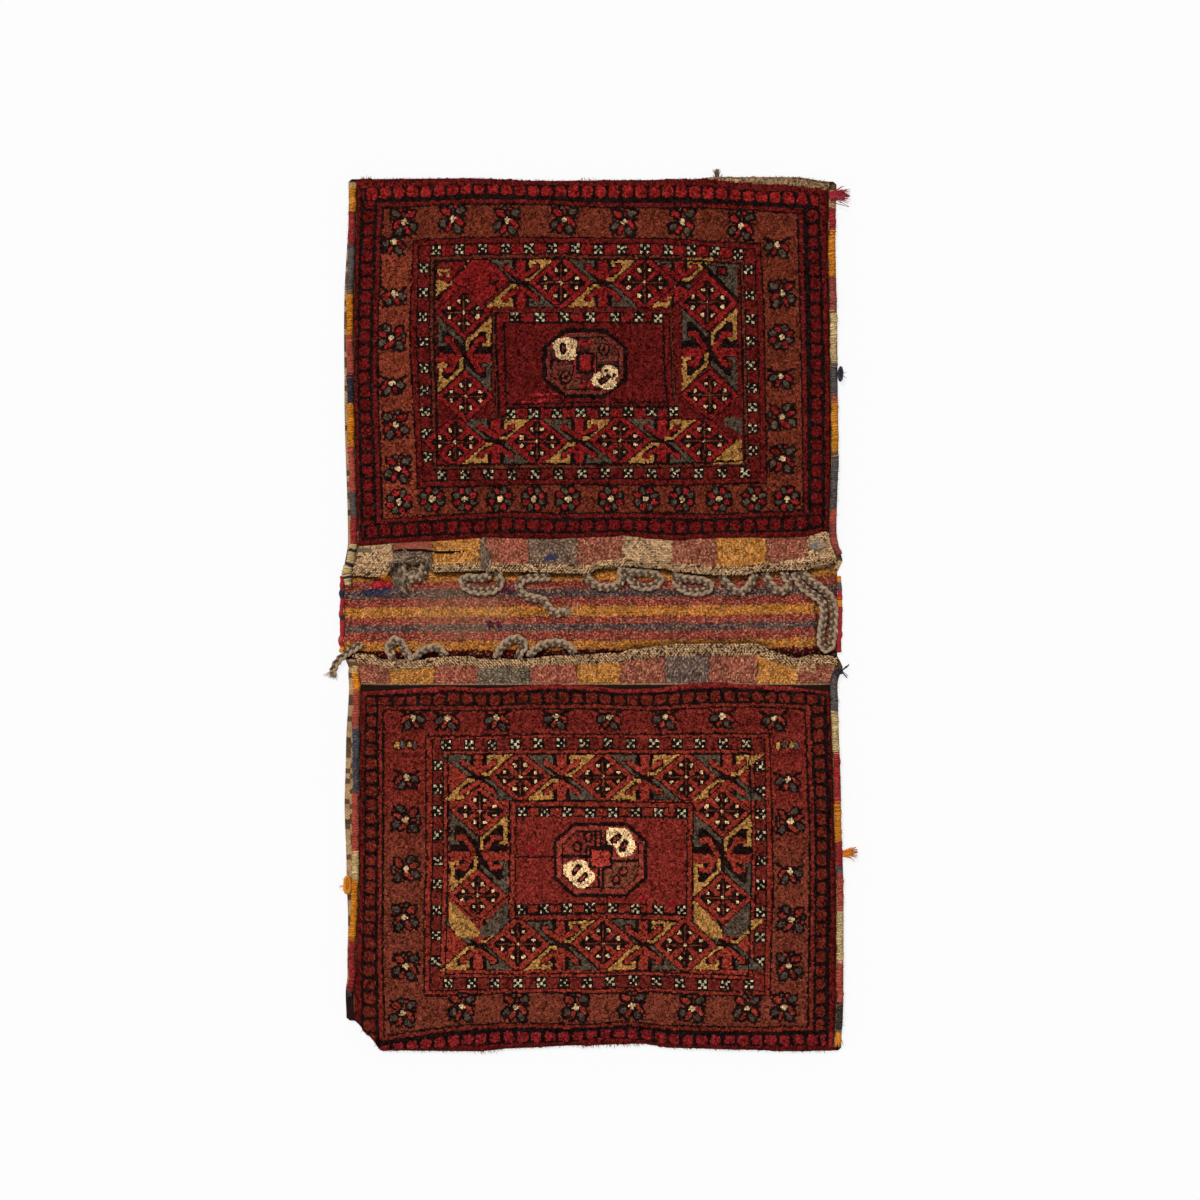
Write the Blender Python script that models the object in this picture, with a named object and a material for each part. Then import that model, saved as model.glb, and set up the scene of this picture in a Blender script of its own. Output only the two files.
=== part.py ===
"""A double saddle bag that lies flat, seen from above.

One long woven strip is folded up at both ends into two pouches. It is made of adjoining solids, so
that each of them is nearly flat: faces, their sloping sides, folds, backs and the bridge. Wool
bindings close the sides, braided loops hang from both mouths, and tufts and mending knots are tied
into the cloth.
+X is to the right, +Y points along the bag to the upper pouch, and the strip lies on Z = 0.
"""

import math

import bmesh
import bpy
from mathutils import Vector

MM = 0.001

# Clearances
REST_GAP = 0.3 * MM
SEAM_GAP = 0.5 * MM
BRAID_LIE = 0.5 * MM

# Cloth
BACK_THICK = 2.5 * MM
BAND_THICK = 2.6 * MM
HEM_THICK = 4.4 * MM
PILE_THICK = 5.0 * MM
FOLD_GAP = 1.5 * MM

# Lengths along the bag
BRIDGE_LENGTH = 100.8 * MM
HEM_WIDTH = 10.8 * MM
UPPER_BAND = 28.8 * MM
LOWER_BAND = 25.8 * MM
UPPER_PILE = 429.6 * MM
LOWER_PILE = 432.6 * MM
STEP_LENGTH = 1.2 * MM
EDGE_ROUND = 8.0 * MM
EDGE_STRIP = 4.0 * MM

# Widths across the bag
FACE_WIDTH = 570.5 * MM
BRIDGE_WIDTH = 593.4 * MM
UPPER_SHIFT = -0.5 * MM
LOWER_SHIFT = 4.2 * MM
BRIDGE_SHIFT = -3.0 * MM

# How the pouches stand open
POUCH_HEIGHT = 5.6 * MM
SIDE_RISE = 32.0 * MM
END_RISE = 38.0 * MM
RIPPLE = 1.1 * MM
PUCKER = 1.2 * MM

# Edges, braids and tufts
BINDING_DIA = 8.0 * MM
SELVAGE_DIA = 6.0 * MM
SELVAGE_END = 8.4 * MM
BRAID_DIA = 7.5 * MM
BRAID_END_DIA = 7.0 * MM
KNOT_DIA = 6.0 * MM
KNOT_HEIGHT = 2.6 * MM

# Where the bindings start and end, as depths from the pouch's mouth
BINDING_START = 14.0 * MM
UPPER_LEFT_START = -11.0 * MM
UPPER_LEFT_END = 463.0 * MM
UPPER_RIGHT_END = 441.0 * MM
LOWER_LEFT_END = 444.0 * MM
LOWER_RIGHT_END = 447.0 * MM

# Tufts: depths from the pouch's mouth, reaches and heights above the back
RED_TASSEL_DEPTH = 453.6 * MM
RED_TASSEL_DROP = 1.0 * MM
RED_TASSEL_REACH = 23.0 * MM
RED_TASSEL_HEIGHT = 4.0 * MM
RED_TASSEL_ROOT = 5.0 * MM
RED_TASSEL_TIP = 9.0 * MM
YARN_TUFT_X = 149.0 * MM
YARN_TUFT_HEIGHT = 3.2 * MM
YARN_TUFT = (5.0 * MM, 4.6 * MM, 3.0 * MM)
BLUE_KNOT_DEPTH = 238.0 * MM
BLUE_KNOT = (3.4 * MM, 12.0 * MM, 4.0 * MM)
BLUE_TIE_DEPTH = 18.0 * MM
BLUE_TIE = (4.0 * MM, 7.0 * MM, 4.0 * MM)
ORANGE_KNOT_DEPTH = 275.0 * MM
ORANGE_KNOT = (5.2 * MM, 14.0 * MM, 4.5 * MM)
ORANGE_TUFT_DEPTH = 232.6 * MM
ORANGE_TUFT_DROP = 6.0 * MM
ORANGE_TUFT_START = 1.7 * MM
ORANGE_TUFT_REACH = 14.35 * MM
ORANGE_TUFT_HEIGHT = 3.4 * MM
ORANGE_TUFT_ROOT = 4.0 * MM
ORANGE_TUFT_TIP = 7.0 * MM
END_TUFT_DEPTH = 460.6 * MM
END_TUFT_SET = 5.0 * MM
END_TUFT = (4.6 * MM, 8.0 * MM, 3.5 * MM)
TASSEL_FLAT = 0.4

# The point of the layout that the origin lies under
ORIGIN_X = 5.5 * MM
ORIGIN_Y = 4.58 * MM

# Grid of the strip
COLUMNS = 32
SIDE_COLUMNS = 3
FOLD_ROWS = 5
BACK_ROWS = 7
BRIDGE_ROWS = 8
PILE_ROWS = 9
CORD_SIDES = 2


class Pouch:
    """One pouch: side is +1 or -1 along Y, and each list holds (place, offset) pairs in millimetres.

    A hem offset moves the mouth away from the bridge and an end offset moves the fold outward, both
    by their place across the bag. The edge and margin lists run from the mouth to the fold.
    """

    def __init__(self, side, band, pile, shift, hem, end, left, right, left_margin, right_margin):
        self.side = side
        self.band = band
        self.length = HEM_WIDTH + band + pile
        self.shift = shift
        self.hem = hem
        self.end = end
        self.edges = {-1: left, 1: right}
        self.margins = {-1: left_margin, 1: right_margin}


UPPER = Pouch(
    side=1,
    band=UPPER_BAND,
    pile=UPPER_PILE,
    shift=UPPER_SHIFT,
    hem=[(-286, -5), (-250, -6), (-236, 12), (-202, 12), (-190, 0), (-136, 1), (-52, -1), (-8, -2),
         (8, 4), (34, 7), (80, 4), (104, 0), (150, -4), (180, -4), (202, 0), (252, 2), (274, 7),
         (288, 10)],
    end=[(-286, 0), (-150, 1), (-60, -2), (60, -1), (120, 0), (150, 2.5), (240, 2.5), (286, -3)],
    left=[(0, 4), (38, -2.5), (206, 1.3), (326, 1.9), (446, -1.5), (469, -1)],
    right=[(0, 8), (50, -1), (146, 1.3), (276, 0), (410, -2.3), (469, -1)],
    left_margin=[(0, 1.4), (40, 3), (276, 3.5), (446, 1), (469, 1)],
    right_margin=[(0, -7.6), (14, 0.6), (469, 0.6)],
)

LOWER = Pouch(
    side=-1,
    band=LOWER_BAND,
    pile=LOWER_PILE,
    shift=LOWER_SHIFT,
    hem=[(-290, 0), (-284, -3), (-266, -2), (-248, 6), (-217, 6), (-184, 1), (-146, 0), (-136, 4),
         (-85, 3.5), (-40, -1), (28, -3.5), (47, -8), (71, -11), (104, -14.5), (194, -15.5),
         (206, -11), (217, -5), (245, 2), (264, -2), (282, -1), (294, 2)],
    end=[(-286, -34), (-270, -16), (-254, 2), (-140, 3), (-90, -1), (-20, -4), (60, -6), (95, -1),
         (180, 1), (240, 3), (292, 2)],
    left=[(0, 8), (14, 1), (36, -2), (120, -0.5), (275, 0), (413, 4.4), (440, 7), (469, 6)],
    right=[(0, 5), (36, -4.6), (53, -3.8), (173, -0.4), (293, 2.8), (413, 2.6), (469, 0)],
    left_margin=[(0, 2.1), (36, 6), (110, 8), (190, 9.5), (275, 7), (370, 2), (440, 1), (469, 1)],
    right_margin=[(0, -9.3), (14, 0.6), (469, 0.6)],
)

# Braided cords: points in millimetres across and along the bag, each with its lift above the bridge
UPPER_BRAIDS = {
    "upper_loop_1": [(-229, 55, 2), (-227, 47, 0), (-216, 42, 0), (-206, 47, 0), (-204, 55, 2)],
    "upper_loop_2": [(-113, 45, 2), (-111, 36, 0), (-122, 28, 0), (-138, 27, 0), (-152, 32, 0),
                     (-157, 40, 0), (-149, 44.5, 0), (-138, 42, 0), (-128, 45, 2)],
    "upper_loop_3": [(-58, 44, 2), (-71, 44, 1), (-84, 41, 0), (-89, 32, 0), (-83, 23, 0),
                     (-70, 19, 0), (-60, 17, 0), (-54, 9, 0), (-44, 1, 0), (-32, 4, 0)],
    "upper_loop_4": [(-6, 43, 2), (1, 36, 0), (13, 32, 0), (27, 34, 0), (35, 42, 0), (34, 51, 2)],
    "upper_loop_5": [(45, 50, 2), (57, 50, 0), (71, 49, 0), (81, 43, 0), (76, 35, 0), (63, 32, 0),
                     (52, 34, 0), (46, 40, 0)],
    "upper_loop_6": [(101, 45, 2), (114, 42.5, 0), (130, 41, 0), (141, 35, 0), (136, 28, 0),
                     (121, 26, 0), (109, 29, 0), (102, 35, 0)],
    "upper_loop_7": [(157, 41, 2), (165, 33, 0), (175, 26, 0), (185, 31, 0), (192, 42, 2)],
    "upper_loop_8": [(208, 44, 2), (214, 36, 0), (220, 29, 0), (230, 28, 0), (236, 36, 0),
                     (231, 45, 2)],
    "long_braid": [(254, 47, 2), (264, 38, 0), (277, 29, 0), (287, 17, 0), (290, -1, 0),
                   (288, -25, 0), (286, -36, 0), (280, -42.5, 0), (274, -36, 0), (274, -22, 0),
                   (277, -1, 0), (275, 14, 0), (264, 23, 0), (252, 32, 0), (244, 44, 2)],
}
LOWER_BRAIDS = {
    "lower_loop_1": [(-242, -49, 2), (-246, -41, 0), (-239, -31, 0), (-230, -35, 0), (-226, -43, 0),
                     (-222, -50, 2)],
    "lower_loop_2": [(-211, -49, 2), (-203, -43, 0), (-189, -40, 0), (-181, -45, 2)],
    "lower_loop_3": [(-114, -47, 2), (-108, -38, 0), (-97, -30, 0), (-88, -30, 0), (-82, -38, 0),
                     (-88, -47, 2)],
    "lower_loop_4": [(-73, -46, 2), (-62, -38, 0), (-48, -34, 0), (-34, -36, 0), (-26, -42, 2)],
}
LEFT_BRAID_END = [(-284, -40, 0), (-294, -46, 0), (-303, -53, 0), (-310, -62, -1.5), (-313, -72, -2.5)]

BRIDGE_KNOTS = [(-250, 32), (-101, 27), (-124, -13), (-113, -14)]

COLOURS = {
    "strip_wool": (0.19, 0.045, 0.035),
    "binding_wool": (0.36, 0.09, 0.05),
    "selvage_wool": (0.30, 0.05, 0.04),
    "goat_hair": (0.20, 0.16, 0.12),
    "orange_wool": (0.50, 0.20, 0.04),
    "blue_wool": (0.04, 0.045, 0.09),
    "red_wool": (0.34, 0.03, 0.035),
}


def clear_scene():
    for obj in list(bpy.data.objects):
        bpy.data.objects.remove(obj, do_unlink=True)


def wool(name):
    """The matt wool material of this name."""
    if name in bpy.data.materials:
        return bpy.data.materials[name]
    material = bpy.data.materials.new(name)
    material.use_nodes = True
    shader = material.node_tree.nodes["Principled BSDF"]
    shader.inputs["Base Color"].default_value = (*COLOURS[name], 1.0)
    shader.inputs["Roughness"].default_value = 0.9
    shader.inputs["Metallic"].default_value = 0.0
    return material


def smooth(share):
    share = min(max(share, 0.0), 1.0)
    return share * share * (3.0 - 2.0 * share)


def along(pairs, place):
    """The offset at this place, in metres, eased between neighbouring pairs of millimetres."""
    place_mm = place / MM
    if place_mm <= pairs[0][0]:
        return pairs[0][1] * MM
    for (start, low), (end, high) in zip(pairs, pairs[1:]):
        if place_mm <= end:
            return (low + (high - low) * smooth((place_mm - start) / (end - start))) * MM
    return pairs[-1][1] * MM


def face_edge(pouch, hand, depth):
    """Where the face's side edge lies at this depth from the mouth. hand is -1 left, +1 right."""
    return pouch.shift + hand * (FACE_WIDTH / 2 + along(pouch.edges[hand], depth))


def back_edge(pouch, hand, depth):
    """The back reaches under the binding and past it."""
    beyond = SEAM_GAP + BINDING_DIA + along(pouch.margins[hand], depth)
    return face_edge(pouch, hand, depth) + hand * beyond


def bridge_edge(hand):
    return BRIDGE_SHIFT + hand * BRIDGE_WIDTH / 2


def across(left, right, share):
    return left + (right - left) * share


def mouth_place(pouch, x):
    """How far the mouth's edge lies from the bag's middle at x."""
    return BRIDGE_LENGTH / 2 + along(pouch.hem, x)


def face_place(pouch, x, depth):
    """Distance from the bag's middle of a point of the face, as waves of the mouth and fold die out."""
    near = 1.0 - smooth(depth / (HEM_WIDTH + pouch.band))
    far = smooth(depth / pouch.length)
    return BRIDGE_LENGTH / 2 + depth + near * along(pouch.hem, x) + far * along(pouch.end, x)


def side_rise(share):
    return smooth(min(share, 1.0 - share) * FACE_WIDTH / SIDE_RISE)


def pouch_lift(pouch, share, depth):
    """How far the face stands above its rest on the back."""
    rise = side_rise(share) * smooth((pouch.length - depth) / END_RISE)
    swell = 0.5 + 0.5 * math.sin(9.0 * share + 11.0 * depth / pouch.length + pouch.side)
    return rise * (POUCH_HEIGHT + RIPPLE * swell)


def pucker(x, y):
    """Soft ridges of the bridge, which die out at its edges."""
    inside = smooth((BRIDGE_LENGTH / 2 - abs(y)) / (0.2 * BRIDGE_LENGTH))
    inside *= smooth((bridge_edge(1) - x) / SIDE_RISE) * smooth((x - bridge_edge(-1)) / SIDE_RISE)
    return inside * PUCKER * (0.5 + 0.5 * math.sin(x / (38.0 * MM)) * math.cos(y / (24.0 * MM)))


def face_row(pouch, depth, thick):
    """One row across a face: a function from the share of the width to a point and its outward side."""

    def point(share):
        x = across(face_edge(pouch, -1, depth), face_edge(pouch, 1, depth), share)
        y = pouch.side * face_place(pouch, x, depth)
        underside = BACK_THICK + REST_GAP + pouch_lift(pouch, share, depth)
        return place(x, y, underside + thick / 2), Vector((0.0, 0.0, 1.0))

    return point, thick


def back_row(pouch, depth):
    def point(share):
        x = across(back_edge(pouch, -1, depth), back_edge(pouch, 1, depth), share)
        reach = BRIDGE_LENGTH / 2 + depth + smooth(depth / pouch.length) * along(pouch.end, x)
        return place(x, pouch.side * reach, BACK_THICK / 2), Vector((0.0, 0.0, -1.0))

    return point, BACK_THICK


def fold_row(pouch, turn):
    """A row of the fold, where turn goes from 0 at the back to 1 at the face."""
    radius = (BACK_THICK + FOLD_GAP) / 2
    angle = math.pi * turn
    depth = pouch.length

    def point(share):
        from_back = across(back_edge(pouch, -1, depth), back_edge(pouch, 1, depth), share)
        from_face = across(face_edge(pouch, -1, depth), face_edge(pouch, 1, depth), share)
        x = across(from_back, from_face, turn)
        reach = BRIDGE_LENGTH / 2 + depth + along(pouch.end, x) + radius * math.sin(angle)
        z = BACK_THICK / 2 + radius * (1.0 - math.cos(angle))
        outward = Vector((0.0, pouch.side * math.sin(angle), -math.cos(angle)))
        return place(x, pouch.side * reach, z), outward

    return point, BACK_THICK


def bridge_row(share_along):
    """A row of the bridge from the lower mouth, 0, to the upper mouth, 1."""
    y = BRIDGE_LENGTH * (share_along - 0.5)

    def point(share):
        left = across_mouth(-1, share_along)
        right = across_mouth(1, share_along)
        x = across(left, right, share)
        return place(x, y, BACK_THICK / 2 + pucker(x, y)), Vector((0.0, 0.0, -1.0))

    return point, BACK_THICK


def across_mouth(hand, share_along):
    """The bridge's side edge, which eases into the pouches' backs at both mouths."""
    pouch = UPPER if share_along > 0.5 else LOWER
    near = smooth(abs(share_along - 0.5) * 8.0 - 3.0)
    return across(bridge_edge(hand), back_edge(pouch, hand, 0.0), near)


def face_depths(pouch):
    """(depth, thickness) of each row of a face, from the mouth to where it slopes to the fold."""
    band_end = HEM_WIDTH + pouch.band
    half = STEP_LENGTH / 2
    rows = [
        (0.0, BAND_THICK),
        (HEM_WIDTH * 0.3, HEM_THICK),
        (HEM_WIDTH - half, HEM_THICK),
        (HEM_WIDTH + half, BAND_THICK),
        (HEM_WIDTH + pouch.band / 2, BAND_THICK),
        (band_end - half, BAND_THICK),
        (band_end + half, PILE_THICK),
    ]
    pile_end = pouch.length - END_RISE
    for row in range(1, PILE_ROWS + 1):
        rows.append((across(band_end, pile_end, row / PILE_ROWS), PILE_THICK))
    return rows


def slope_depths(pouch):
    """(depth, thickness) of the face's rows on its slope to the fold."""
    return [
        (pouch.length - END_RISE, PILE_THICK),
        (pouch.length - END_RISE / 2, PILE_THICK),
        (pouch.length - EDGE_ROUND, PILE_THICK),
    ]


def place(x, y, z):
    return Vector((x - ORIGIN_X, y - ORIGIN_Y, z))


def finish(obj, material, origin, collection):
    """Gives a new object its material, collection and parent."""
    obj.data.materials.append(wool(material))
    for old in list(obj.users_collection):
        old.objects.unlink(obj)
    collection.objects.link(obj)
    obj.parent = origin
    return obj


def column_share(column):
    """The share of the width at this column. Three narrow columns at each side follow its slope."""
    insets = (0.0, EDGE_STRIP, (EDGE_STRIP + SIDE_RISE) / 2, SIDE_RISE)
    from_left = column
    from_right = COLUMNS - column
    if from_left <= SIDE_COLUMNS:
        return insets[from_left] / FACE_WIDTH
    if from_right <= SIDE_COLUMNS:
        return 1.0 - insets[from_right] / FACE_WIDTH
    inset = SIDE_RISE / FACE_WIDTH
    return across(inset, 1.0 - inset, (column - SIDE_COLUMNS) / (COLUMNS - 2 * SIDE_COLUMNS))


def skin(bm, grid, flip):
    """Faces between neighbouring points of a grid of vertices."""
    for near, far in zip(grid, grid[1:]):
        for a, b, c, d in zip(near, near[1:], far[1:], far):
            bm.faces.new((d, c, b, a) if flip else (a, b, c, d))


def cloth(name, rows, first, last, origin, collection):
    """A solid piece of the strip between two columns, from its rows' middle points and thickness."""
    shares = [column_share(column) for column in range(first, last + 1)]
    bm = bmesh.new()
    sides = []
    for hand in (1.0, -1.0):
        grid = []
        for point, thick in rows:
            spots = [point(share) for share in shares]
            grid.append([bm.verts.new(middle + outward * (hand * thick / 2)) for middle, outward in spots])
        sides.append(grid)
    outer, inner = sides
    skin(bm, outer, True)
    skin(bm, inner, False)
    skin(bm, [outer[0], inner[0]], False)
    skin(bm, [outer[-1], inner[-1]], True)
    skin(bm, [[row[0] for row in outer], [row[0] for row in inner]], True)
    skin(bm, [[row[-1] for row in outer], [row[-1] for row in inner]], False)
    bmesh.ops.recalc_face_normals(bm, faces=bm.faces)
    mesh = bpy.data.meshes.new(name)
    bm.to_mesh(mesh)
    bm.free()
    return finish(bpy.data.objects.new(name, mesh), "strip_wool", origin, collection)


def pouch_cloth(name, pouch, origin, collection):
    """The face with its two sloping sides, the fold and the back of one pouch."""
    face = [face_row(pouch, depth, thick) for depth, thick in face_depths(pouch)]
    cloth(f"{name}_face", face, SIDE_COLUMNS, COLUMNS - SIDE_COLUMNS, origin, collection)
    cloth(f"{name}_left_side", face, 0, SIDE_COLUMNS, origin, collection)
    cloth(f"{name}_right_side", face, COLUMNS - SIDE_COLUMNS, COLUMNS, origin, collection)
    fold = [face_row(pouch, depth, thick) for depth, thick in slope_depths(pouch)]
    fold += [fold_row(pouch, 1.0 - row / FOLD_ROWS) for row in range(FOLD_ROWS + 1)]
    cloth(f"{name}_fold", fold, 0, COLUMNS, origin, collection)
    back = [back_row(pouch, pouch.length * (1.0 - row / BACK_ROWS)) for row in range(BACK_ROWS + 1)]
    cloth(f"{name}_back", back, 0, COLUMNS, origin, collection)


def tube(name, points, dia, material, origin, collection):
    """A closed tube of this diameter along these points."""
    curve = bpy.data.curves.new(name, "CURVE")
    curve.dimensions = "3D"
    curve.bevel_depth = dia / 2
    curve.bevel_resolution = CORD_SIDES
    curve.use_fill_caps = True
    spline = curve.splines.new("POLY")
    spline.points.add(len(points) - 1)
    for spot, point in zip(spline.points, points):
        spot.co = (*point, 1.0)
    obj = bpy.data.objects.new(name, curve)
    return finish(obj, material, origin, collection)


def binding(name, pouch, hand, start, end, origin, collection):
    """The wrapped wool roll beside a face's edge, on the back's margin, between two depths."""
    radius = BINDING_DIA / 2
    rows = face_depths(pouch) + slope_depths(pouch)
    depths = [start, *sorted({depth for depth, _ in rows if start < depth < end}), end]
    points = []
    for depth in depths:
        edge = face_edge(pouch, hand, depth)
        y = pouch.side * face_place(pouch, edge, depth)
        points.append(place(edge + hand * (SEAM_GAP + radius), y, BACK_THICK + REST_GAP + radius))
    return tube(name, points, BINDING_DIA, "binding_wool", origin, collection)


def selvage(name, hand, origin, collection):
    """The wrapped edge of the bridge, which lies on the ground beside the cloth."""
    radius = SELVAGE_DIA / 2
    x = bridge_edge(hand) + hand * (REST_GAP + radius)
    reach = BRIDGE_LENGTH / 2 - SELVAGE_END
    points = [place(x, across(-reach, reach, step / 6), radius) for step in range(7)]
    return tube(name, points, SELVAGE_DIA, "selvage_wool", origin, collection)


def smooth_route(points, spacing):
    """Points at about this spacing on a Catmull-Rom curve through the given points."""
    ends = [2 * points[0] - points[1], *points, 2 * points[-1] - points[-2]]
    fine = []
    for a, b, c, d in zip(ends, ends[1:], ends[2:], ends[3:]):
        for step in range(12):
            t = step / 12
            fine.append(0.5 * (2 * b + (c - a) * t + (2 * a - 5 * b + 4 * c - d) * t * t
                               + (3 * b - 3 * c + d - a) * t * t * t))
    fine.append(points[-1])
    lengths = [0.0]
    for before, after in zip(fine, fine[1:]):
        lengths.append(lengths[-1] + (after - before).length)
    count = max(round(lengths[-1] / spacing), 4)
    wanted = [lengths[-1] * step / count for step in range(count + 1)]
    route = []
    at = 0
    for want in wanted:
        while at < len(lengths) - 2 and lengths[at + 1] < want:
            at += 1
        share = (want - lengths[at]) / (lengths[at + 1] - lengths[at])
        route.append(fine[at].lerp(fine[at + 1], share))
    return route


def braid(name, route, dia, origin, collection):
    """A braided cord that lies on the bridge along its hand-chosen route."""
    points = []
    for x, y, lift in route:
        rest = BACK_THICK + pucker(x * MM, y * MM) + BRAID_LIE + dia / 2
        points.append(place(x * MM, y * MM, rest + lift * MM))
    points = smooth_route(points, 0.8 * dia)
    return tube(name, points, dia, "goat_hair", origin, collection)


def lump(name, centre, half, material, origin, collection):
    """A knot of yarn: a sphere scaled to these half sizes."""
    bm = bmesh.new()
    bmesh.ops.create_uvsphere(bm, u_segments=10, v_segments=6, radius=1.0)
    for vert in bm.verts:
        vert.co = place(*centre) + Vector(co * size for co, size in zip(vert.co, half))
    mesh = bpy.data.meshes.new(name)
    bm.to_mesh(mesh)
    bm.free()
    obj = bpy.data.objects.new(name, mesh)
    return finish(obj, material, origin, collection)


def tassel(name, root, tip, radii, flat, material, origin, collection):
    """A frayed tuft: a flattened cone frustum that widens from its root to its tip."""
    root = place(*root)
    tip = place(*tip)
    bm = bmesh.new()
    bmesh.ops.create_cone(bm, cap_ends=True, segments=12, radius1=radii[0], radius2=radii[1],
                          depth=(tip - root).length)
    turn = Vector((0, 0, 1)).rotation_difference(tip - root)
    middle = (root + tip) / 2
    for vert in bm.verts:
        spot = turn @ vert.co
        spot.z *= flat
        vert.co = middle + spot
    mesh = bpy.data.meshes.new(name)
    bm.to_mesh(mesh)
    bm.free()
    obj = bpy.data.objects.new(name, mesh)
    return finish(obj, material, origin, collection)


def binding_outside(pouch, hand, depth, reach):
    """X just clear of a binding's outer side, over this reach to both sides of the depth."""
    edges = (hand * face_edge(pouch, hand, depth + reach * step / 4) for step in range(-4, 5))
    return hand * (max(edges) + SEAM_GAP + BINDING_DIA + REST_GAP)


def side_knot(name, pouch, hand, depth, half, material, origin, collection):
    """A knot of yarn tied to the outer side of a binding."""
    x = binding_outside(pouch, hand, depth, half[1] / 2) + hand * half[0]
    y = pouch.side * (BRIDGE_LENGTH / 2 + depth)
    z = BACK_THICK + REST_GAP + half[2]
    return lump(name, (x, y, z), half, material, origin, collection)


def corner_tassel(origin, collection):
    """The frayed red tassel at the upper right corner."""
    x = face_edge(UPPER, 1, RED_TASSEL_DEPTH) + 2 * REST_GAP
    y = BRIDGE_LENGTH / 2 + RED_TASSEL_DEPTH
    z = BACK_THICK + REST_GAP + RED_TASSEL_HEIGHT
    tip = (x + RED_TASSEL_REACH, y - RED_TASSEL_DROP, z)
    tassel("corner_tassel", (x, y, z), tip, (RED_TASSEL_ROOT, RED_TASSEL_TIP), TASSEL_FLAT,
           "red_wool", origin, collection)


def top_yarn_tuft(origin, collection):
    """The yarn ends that stick out over the upper fold."""
    fold = face_place(UPPER, YARN_TUFT_X, UPPER.length) + BACK_THICK + FOLD_GAP / 2 + REST_GAP
    lump("top_yarn_tuft", (YARN_TUFT_X, fold + YARN_TUFT[1], YARN_TUFT_HEIGHT), YARN_TUFT,
         "goat_hair", origin, collection)


def right_orange_tuft(origin, collection):
    """The frayed orange wrapping at the lower pouch's right side."""
    x = binding_outside(LOWER, 1, ORANGE_TUFT_DEPTH, ORANGE_TUFT_ROOT)
    y = -(BRIDGE_LENGTH / 2 + ORANGE_TUFT_DEPTH)
    z = BACK_THICK + REST_GAP + ORANGE_TUFT_HEIGHT
    tip = (x + ORANGE_TUFT_REACH, y - ORANGE_TUFT_DROP, z)
    tassel("right_orange_tuft", (x + ORANGE_TUFT_START, y, z), tip,
           (ORANGE_TUFT_ROOT, ORANGE_TUFT_TIP), TASSEL_FLAT, "orange_wool", origin, collection)


def bottom_right_tuft(origin, collection):
    """The orange tuft beside the lower fold's right end."""
    x = face_edge(LOWER, 1, END_TUFT_DEPTH) + REST_GAP + END_TUFT_SET
    y = -(BRIDGE_LENGTH / 2 + END_TUFT_DEPTH)
    z = BACK_THICK + REST_GAP + END_TUFT[2]
    lump("bottom_right_tuft", (x, y, z), END_TUFT, "orange_wool", origin, collection)


def tufts(origin, collection):
    """Tufts and knots of yarn at the bag's edges."""
    corner_tassel(origin, collection)
    top_yarn_tuft(origin, collection)
    side_knot("right_blue_knot", UPPER, 1, BLUE_KNOT_DEPTH, BLUE_KNOT, "blue_wool", origin, collection)
    side_knot("right_blue_tie", LOWER, 1, BLUE_TIE_DEPTH, BLUE_TIE, "blue_wool", origin, collection)
    side_knot("left_orange_knot", LOWER, -1, ORANGE_KNOT_DEPTH, ORANGE_KNOT, "orange_wool",
              origin, collection)
    right_orange_tuft(origin, collection)
    bottom_right_tuft(origin, collection)


def bridge_knots(origin, collection):
    """Small mending knots that lie on the bridge."""
    for number, (x, y) in enumerate(BRIDGE_KNOTS, start=1):
        rest = BACK_THICK + pucker(x * MM, y * MM) + REST_GAP + KNOT_HEIGHT / 2
        lump(f"bridge_knot_{number}", (x * MM, y * MM, rest),
             (KNOT_DIA / 2, KNOT_DIA / 2, KNOT_HEIGHT / 2), "blue_wool", origin, collection)


def build():
    clear_scene()
    collection = bpy.data.collections.new("saddle_bag")
    bpy.context.scene.collection.children.link(collection)
    origin = bpy.data.objects.new("saddle_bag_origin", None)
    collection.objects.link(origin)
    pouch_cloth("lower", LOWER, origin, collection)
    bridge = [bridge_row(row / BRIDGE_ROWS) for row in range(BRIDGE_ROWS + 1)]
    cloth("bridge", bridge, 0, COLUMNS, origin, collection)
    pouch_cloth("upper", UPPER, origin, collection)
    binding("upper_left_binding", UPPER, -1, UPPER_LEFT_START, UPPER_LEFT_END, origin, collection)
    binding("upper_right_binding", UPPER, 1, BINDING_START, UPPER_RIGHT_END, origin, collection)
    binding("lower_left_binding", LOWER, -1, BINDING_START, LOWER_LEFT_END, origin, collection)
    binding("lower_right_binding", LOWER, 1, BINDING_START, LOWER_RIGHT_END, origin, collection)
    selvage("bridge_left_selvage", -1, origin, collection)
    selvage("bridge_right_selvage", 1, origin, collection)
    for name, route in {**UPPER_BRAIDS, **LOWER_BRAIDS}.items():
        braid(name, route, BRAID_DIA, origin, collection)
    braid("left_braid_end", LEFT_BRAID_END, BRAID_END_DIA, origin, collection)
    tufts(origin, collection)
    bridge_knots(origin, collection)


build()
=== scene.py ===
"""The looks of a double saddle bag that lies flat: pile faces, striped bridge, bands, braids and bindings."""

import math

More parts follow.
